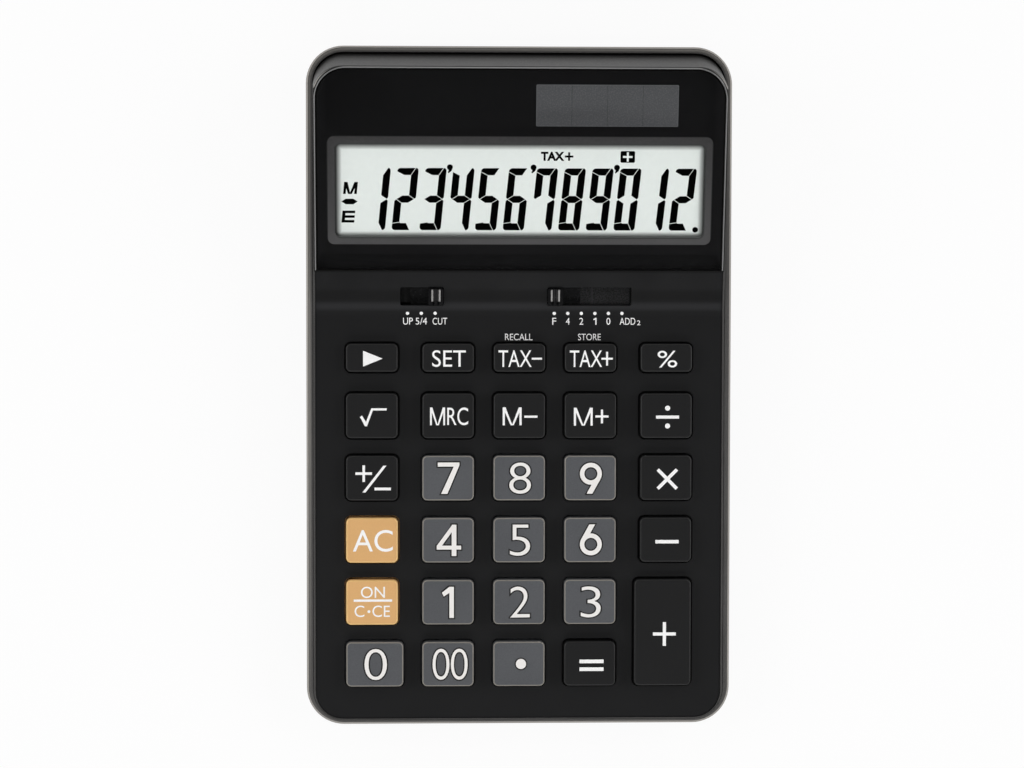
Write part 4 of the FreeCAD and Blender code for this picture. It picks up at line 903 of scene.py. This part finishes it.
def steel_material():
    """Plated steel with fine drawing marks."""
    steel = looks().finishes.steel
    finish = Finish("plated steel")
    drawn = finish.node("Mapping", values={"Vector": finish.place(), "Scale": (400.0, 9000.0, 400.0)})
    marks = finish.noise(1.0, 3.0, 0.6, drawn)
    tone = finish.mix(marks, scaled(steel, 0.9), scaled(steel, 1.08))
    return finish.made(tone, marks, 0.27, marks, 0.004 * MM, metallic=1.0, swing=0.07)


def dress(nodes, material):
    """Gives CAD nodes a material in every slot."""
    for node in nodes:
        mesh = frame["nodes"][node].data
        if not mesh.materials:
            mesh.materials.append(material)
        for slot in range(len(mesh.materials)):
            mesh.materials[slot] = material


# ---- key legends

def key_legends(weight):
    """The legend of each key that bears no number, drawn round the middle of its top."""
    def word(*sizes):
        return letters_mm(*sizes, weight=weight)

    return {
        "plus": [bar_mm(5.85, 0.82, 0.25, -0.37), bar_mm(0.82, 6.1, 0.25, -0.37)],
        "equals": [bar_mm(6.15, 0.93, 0.25, y) for y in (0.58, -1.42)],
        "minus": [bar_mm(5.95, 0.88, 0.12, -0.47)],
        "times": [bar_mm(6.9, 0.85, 0.12, -0.3, turn=math.radians(turn)) for turn in (45, -45)],
        "divide": [bar_mm(5.85, 0.78, 0.12, -0.32), disc_mm(1.3, 0.12, 1.95), disc_mm(1.3, 0.12, -2.58)],
        "percent": [word("%", 5.0, 4.25, 0, -0.3)],
        "set": [word("SET", 8.55, 4.23, 0, -0.17)],
        "tax_minus": [word("TAX", 8.4, 4.23, -1.35, -0.17), bar_mm(2.6, 0.5, 4.2, -0.2)],
        "tax_plus": [word("TAX", 8.2, 4.23, -1.4, -0.2), bar_mm(2.9, 0.5, 3.95, -0.2),
                     bar_mm(0.5, 3.5, 3.95, -0.2)],
        "memory_recall": [*letter_m_mm(3.8, 4.5, 0.45, -2.9, -0.1), word("RC", 5.3, 4.5, 2.2, -0.1)],
        "memory_minus": [*letter_m_mm(4.8, 4.55, 0.55, -2.05, -0.1), bar_mm(3.35, 0.55, 2.7, -0.2)],
        "memory_plus": [*letter_m_mm(4.8, 4.55, 0.55, -2.05, -0.2), bar_mm(3.35, 0.55, 2.7, -0.15),
                        bar_mm(0.55, 3.5, 2.7, -0.15)],
        "sign": [bar_mm(4.2, 0.66, -2.3, 1.2), bar_mm(0.66, 4.2, -2.3, 1.2),
                 outline((-2.65, -3.6), (-1.85, -3.6), (3.45, 3.2), (2.65, 3.2)),
                 bar_mm(4.15, 0.68, 2.5, -2.7)],
        "all_clear": [word("AC", 10.12, 5.55, 0, -0.08)],
        "on_clear": [word("ON", 6.1, 2.9, 0, 2.62), bar_mm(9.75, 0.59, 0, 0.51),
                     word("C", 2.5, 2.94, -3.4, -2.22), disc_mm(0.75, -1.0, -2.3),
                     word("CE", 4.45, 2.94, 2.1, -2.22)],
        "backspace": [outline((-2.45, -2.2), (2.5, -0.2), (-2.45, 1.8))],
        "root": [outline((-3.3, -0.35), (-2.75, 0.15), (-1.72, -1.5), (-0.35, 1.95), (3.5, 1.95), (3.5, 1.4),
                         (0.02, 1.4), (-1.45, -2.6), (-2.0, -2.6), (-3.0, -0.65))],
    }


# ---- display figures

SEGMENTS = {"0": "abcdef", "1": "bc", "2": "abged", "3": "abgcd", "4": "fgbc", "5": "afgcd", "6": "afgedc",
            "7": "fabc", "8": "abcdefg", "9": "abcdfg"}


def segment_corners(sizes):
    """Corners of the seven segments of an upright digit, and which corner of each is rounded."""
    w, h, t = sizes.width, sizes.height, sizes.stroke
    m, tip = h / 2, 0.22 * t
    return {
        "a": ([(0, h - 0.5 * t), (0, h), (w - 0.4 * t, h), (w - t, h - t), (t, h - t)], 1),
        "b": ([(w - t, h - t), (w - 0.4 * t, h), (w, h), (w, m + tip), (w - tip, m), (w - t, m + t / 2)], 2),
        "c": ([(w - t, t), (w - t, m - t / 2), (w - tip, m), (w, m - tip), (w, 0), (w - 0.45 * t, 0)], 4),
        "d": ([(0, 0.93 * t), (t, 1.1 * t), (1.1 * t, t), (w - t, t), (w - 0.45 * t, 0), (0, 0)], 5),
        "e": ([(0, 0.93 * t), (0, m - tip), (tip, m), (t, m - t / 2), (t, 1.1 * t)], None),
        "f": ([(0, h - 0.5 * t), (t, h - t), (t, m + t / 2), (tip, m), (0, m + tip)], None),
        "g": ([(tip, m), (t, m + t / 2), (w - t, m + t / 2),
               (w - tip, m), (w - t, m - t / 2), (t, m - t / 2)], None),
    }


def segment(corners, rounded, gap, rounding):
    """One segment, drawn in by half a gap all round."""
    figure = flat(corners)
    inner = bmesh.ops.inset_region(figure, faces=figure.faces, thickness=gap / 2, use_boundary=True,
                                   use_even_offset=True)
    bmesh.ops.delete(figure, geom=inner["faces"], context="FACES")
    if rounded is not None:
        target = Vector((*corners[rounded], 0))
        corner = min(figure.verts, key=lambda vertex: (vertex.co - target).length)
        softened(figure, [corner], rounding, 6)
    return figure


def thousands_mark(x, y):
    """A raised comma."""
    tail = outline((0.72, -0.05), (0.45, -0.85), (-0.3, -1.5), (-0.55, -1.3), (-0.1, -0.4))
    return [moved(part, at(x, y)) for part in (disc_mm(1.48), tail)]


def display_figures(sizes):
    """Segments of the figure, in the display's frame."""
    lean = leaning(sizes.slant)
    shapes = segment_corners(sizes)
    figures, x = [], sizes.first
    for mark in sizes.figure:
        if mark in SEGMENTS:
            for name in SEGMENTS[mark]:
                corners, rounded = shapes[name]
                figures.append(moved(segment(corners, rounded, sizes.gap, sizes.rounding),
                                     at(x, sizes.foot) @ lean))
            x += sizes.pitch
        elif mark == "'":
            figures += thousands_mark(x + 0.75 * MM, sizes.foot + sizes.height + 0.15 * MM)
        elif mark == ".":
            figures.append(disc(1.45 * MM, x - 0.15 * MM, sizes.foot + 0.3 * MM))
    return figures


# ---- operators

class CALCULATOR_OT_key_legends(bpy.types.Operator):
    """Print the legend of every key on its top"""

    bl_idname = "calculator.key_legends"
    bl_label = "Key legends"

    def execute(self, context):
        sizes, colours = looks().legends, looks().finishes
        white = ink_material("white ink", colours.white_ink)
        warm = ink_material("number ink", colours.number_ink)
        dark = ink_material("edge ink", colours.edge_ink)
        legends = key_legends(sizes.word_weight)
        for key in KEYS:
            low, high = extent("key_" + key, deck_plane())
            place = deck_plane() @ at((low.x + high.x) / 2 + sizes.shift, (low.y + high.y) / 2, high.z)
            if key in legends:
                ink, bodies = white, [gathered(legends[key], sizes.ink_height)]
            else:
                ink, bodies = warm, [gathered(digit(key), sizes.ink_height),
                                     gathered(digit(key, sizes.edge_width), sizes.edge_height, material=1)]
            piece("legend_" + key, bodies, place, "key_" + key, [ink, dark])
        return {"FINISHED"}


class CALCULATOR_OT_switch_legends(bpy.types.Operator):
    """Print the marks of the slide switches and the words over the low key row"""

    bl_idname = "calculator.switch_legends"
    bl_label = "Switch legends"

    def execute(self, context):
        sizes = looks().legends
        white = ink_material("panel ink", looks().finishes.white_ink)

        def word(text, left, right, low=15.8, high=17.55):
            return say(text, left, right, low, high, sizes.word_weight)

        left = [disc(sizes.mark_dot, x * MM, sizes.mark_level) for x in (-28.36, -24.86, -21.36)]
        left += [word("UP", -29.5, -27.0), word("5/4", -26.3, -23.4), word("CUT", -22.0, -18.3)]
        middles = [sizes.first_place / MM + sizes.places / MM * place for place in range(6)]
        right = [disc(sizes.mark_dot, middle * MM, sizes.mark_level) for middle in middles]
        for text, middle in zip("F4210", middles):
            if text == "1":
                right.append(figure_one(0.85 * MM, 1.75 * MM, 0.3 * MM, middle * MM, 16.67 * MM))
            else:
                right.append(word(text, middle - 0.5, middle + 0.5))
        right += [word("ADD", 25.6, 29.6), word("2", 30.0, 30.9, 15.7, 16.9)]
        words = [word("RECALL", -3.6, 3.4, 11.83, 13.51), word("STORE", 14.99, 20.79, 11.83, 13.51)]
        for name, figures in (("marks_rounding", left), ("marks_decimal", right), ("marks_tax", words)):
            piece(name, [gathered(figures, sizes.ink_height)], deck_plane(), "root", [white])
        return {"FINISHED"}


class CALCULATOR_OT_display_figures(bpy.types.Operator):
    """Show the figure and the signs in the display"""

    bl_idname = "calculator.display_figures"
    bl_label = "Display figures"

    def execute(self, context):
        sizes, colours = looks().display, looks().finishes
        dark = ink_material("display segments", colours.segment, 0.0)
        pale = ink_material("display ground", colours.cell)
        top = extent("display_glass", display_plane())[1].z
        place = display_plane() @ at(0, 0, top)
        digits = gathered(display_figures(sizes), sizes.film)
        piece("display_digits", [digits], place, "root", [dark])

        plate = bar_mm(3.65, 2.95, 27.1, 37.7)
        lozenge = outline((-45.0, 26.15), (-43.9, 26.85), (-42.0, 26.85), (-40.9, 26.15), (-42.0, 25.45),
                          (-43.9, 25.45))
        leant = [moved(part, leaning(sizes.slant)) for part in (
            *letter_m_mm(3.45, 3.05, 0.66, -45.6, 29.6), *letter_e_mm(3.2, 3.05, 0.8, -45.45, 22.3))]
        signs = [say("TAX", 5.2, 11.1, 36.65, 38.95, 0.045), *cross_mm(2.15, 0.5, 12.3, 37.75),
                 softened(plate, plate.verts[:], 0.35 * MM, 5), *leant, lozenge]
        pale_cross = cross_mm(2.4, 0.5, 27.1, 37.7)
        bodies = [gathered(signs, sizes.film), gathered(pale_cross, sizes.film * 1.6, material=1)]
        piece("display_signs", bodies, place, "root", [dark, pale])
        return {"FINISHED"}


class CALCULATOR_OT_outer_finish(bpy.types.Operator):
    """Give the case, panel, lens, display and switches their finishes"""

    bl_idname = "calculator.outer_finish"
    bl_label = "Outer finish"

    def execute(self, context):
        dress(("rear_case", "front_case", "battery_cover"), case_material())
        dress(("keypad_panel",), panel_material())
        dress(("display_lens",), lens_material())
        dress(("lens_mask",), print_material())
        dress(("display_bezel",), bezel_material())
        dress(("display_glass",), cell_material())
        dress(("solar_cell",), solar_material())
        for knob in ("rounding_knob", "decimal_knob"):
            dress((knob,), knob_material(knob))
        return {"FINISHED"}


class CALCULATOR_OT_key_finish(bpy.types.Operator):
    """Give the keys their plastics"""

    bl_idname = "calculator.key_finish"
    bl_label = "Key finish"

    def execute(self, context):
        colours = looks().finishes
        others = [key for key in KEYS if key not in NUMBER_KEYS + CLEAR_KEYS]
        for keys, kind, roughness, depth, spread, specular in (
                (NUMBER_KEYS, "number", 0.5, 0.010, 0.11, 0.35),
                (CLEAR_KEYS, "clear", 0.45, 0.006, 0.03, 0.35),
                (others, "function", 0.48, 0.006, 0.05, 0.25)):
            base, edge = getattr(colours, kind + "_key"), getattr(colours, kind + "_edge")
            name = kind + " key plastic"
            material = key_material(name, base, edge, roughness, depth * MM, spread, specular)
            dress(["key_" + key for key in keys], material)
        return {"FINISHED"}


class CALCULATOR_OT_inner_finish(bpy.types.Operator):
    """Give the board, mat, cell, screws and feet their finishes"""

    bl_idname = "calculator.inner_finish"
    bl_label = "Inner finish"

    def execute(self, context):
        colours = looks().finishes
        dress(("main_board",), board_material())
        for nodes, name, base, roughness, grain, depth in (
                (("keypad_mat", "display_connector"), "silicone", colours.rubber, 0.55, 900.0, 0.01),
                (("rubber_feet",), "foot rubber", colours.feet, 0.8, 1200.0, 0.03),
                (("controller_chip",), "sealing resin", colours.resin, 0.25, 500.0, 0.02)):
            dress(nodes, moulded(name, base, roughness, grain, depth * MM))
        dress(("battery_contact_minus", "battery_contact_plus", "board_screws", "button_cell", "case_screws",
               "rounding_wiper", "decimal_wiper"), steel_material())
        return {"FINISHED"}


def lamp(name, watts, place, width, depth):
    """A soft lamp that shines on the middle of the desk."""
    light = bpy.data.lights.new(name, "AREA")
    light.shape = "RECTANGLE"
    light.energy = watts
    light.size = width
    light.size_y = depth
    made = linked(name, light)
    made.location = place
    made.rotation_mode = "QUATERNION"
    made.rotation_quaternion = (-Vector(place)).to_track_quat("-Z", "Y")
    made.visible_camera = False


def seen(tree, *kinds):
    """1 for rays from the camera, and for the kinds of ray that are named."""
    mask = tree.node("LightPath", output="Is Camera Ray")
    for kind in kinds:
        mask = mask.over(tree.node("LightPath", output="Is " + kind + " Ray"))
    return mask


def lay_floor(sizes):
    """A plain pale floor that keeps its shadows and is lifted towards white where it is seen."""
    finish = Finish("floor")
    lit = finish.node("BsdfDiffuse", values={"Color": rgba(sizes.floor_colour)})
    glow = finish.node("Emission", values={"Color": WHITE, "Strength": 1.0})
    mask = seen(finish, "Glossy", "Transmission") * sizes.floor_glow
    material = finish.done(finish.node("MixShader", values={0: mask, 1: lit, 2: glow}))
    ground = bmesh.new()
    bmesh.ops.create_grid(ground, x_segments=1, y_segments=1, size=sizes.floor / 2)
    floor = linked("floor", settled("floor", ground, material))


def light_sky(sizes):
    """A studio that is bright low down, and white where the camera sees it."""
    world = bpy.data.worlds.new("studio")
    bpy.context.scene.world = world
    world.use_nodes = True
    sky = Tree(world.node_tree)
    height = sky.parts(sky.node("TexCoord", output="Generated"))[2]
    level = sky.grade(height, math.sin(sizes.sky_low), math.sin(sizes.sky_high), sizes.horizon, sizes.sky)
    dim = sky.node("Background", values={"Color": WHITE, "Strength": level})
    white = sky.node("Background", values={"Color": WHITE, "Strength": 1.0})
    both = sky.node("MixShader", values={0: seen(sky, "Transmission"), 1: dim, 2: white})
    sky.node("OutputWorld", values={"Surface": both})


def hang_camera(sizes):
    """The camera, and colours shown as they are."""
    camera = bpy.data.cameras.new("camera")
    camera.lens = sizes.lens
    camera.sensor_width = sizes.sensor
    holder = linked("camera", camera)
    holder.location = sizes.eye
    holder.rotation_euler = Euler(sizes.aim, "XYZ")
    bpy.context.scene.camera = holder
    bpy.context.scene.view_settings.view_transform = "Standard"


class CALCULATOR_OT_stage(bpy.types.Operator):
    """Lay the floor, hang the lamps and set the camera"""

    bl_idname = "calculator.stage"
    bl_label = "Stage"

    def execute(self, context):
        sizes = looks().stage
        lay_floor(sizes)
        light_sky(sizes)
        lamp("left lamp", sizes.side_lamp, (-0.95, 0.10, 0.62), 0.9, 0.6)
        lamp("right lamp", sizes.side_lamp, (0.95, 0.10, 0.62), 0.9, 0.6)
        lamp("back lamp", sizes.back_lamp, (0.0, 1.00, 0.65), 1.2, 0.5)
        lamp("front lamp", sizes.front_lamp, (0.0, -0.95, 0.72), 1.2, 0.4)
        lamp("strip lamp", sizes.strip_lamp, (0.0, -0.235, 1.15), 0.8, 0.08)
        hang_camera(sizes)
        return {"FINISHED"}


STEPS = (CALCULATOR_OT_outer_finish, CALCULATOR_OT_key_finish, CALCULATOR_OT_inner_finish,
         CALCULATOR_OT_key_legends, CALCULATOR_OT_switch_legends, CALCULATOR_OT_display_figures,
         CALCULATOR_OT_stage)


class CALCULATOR_PT_looks(bpy.types.Panel):
    """Lists the steps in the sidebar."""

    bl_idname = "CALCULATOR_PT_looks"
    bl_label = "Desk calculator"
    bl_space_type = "VIEW_3D"
    bl_region_type = "UI"
    bl_category = "Calculator"

    def draw(self, context):
        for step in STEPS:
            self.layout.operator(step.bl_idname)
        for name in CalculatorLooks.__annotations__:
            group = getattr(looks(), name)
            box = self.layout.box()
            for key in type(group).__annotations__:
                box.prop(group, key)


CLASSES = (SurfaceSizes, MarkSizes, LegendSizes, DisplaySizes, Finishes, StageSizes, CalculatorLooks, *STEPS,
           CALCULATOR_PT_looks)


def register():
    for kind in CLASSES:
        bpy.utils.register_class(kind)
    bpy.types.Scene.calculator_looks = PointerProperty(type=CalculatorLooks)


def unregister():
    del bpy.types.Scene.calculator_looks
    for kind in reversed(CLASSES):
        bpy.utils.unregister_class(kind)


def main():
    register()
    bpy.ops.calculator.outer_finish()
    bpy.ops.calculator.key_finish()
    bpy.ops.calculator.inner_finish()
    bpy.ops.calculator.key_legends()
    bpy.ops.calculator.switch_legends()
    bpy.ops.calculator.display_figures()
    bpy.ops.calculator.stage()


if __name__ == "__main__":
    main()
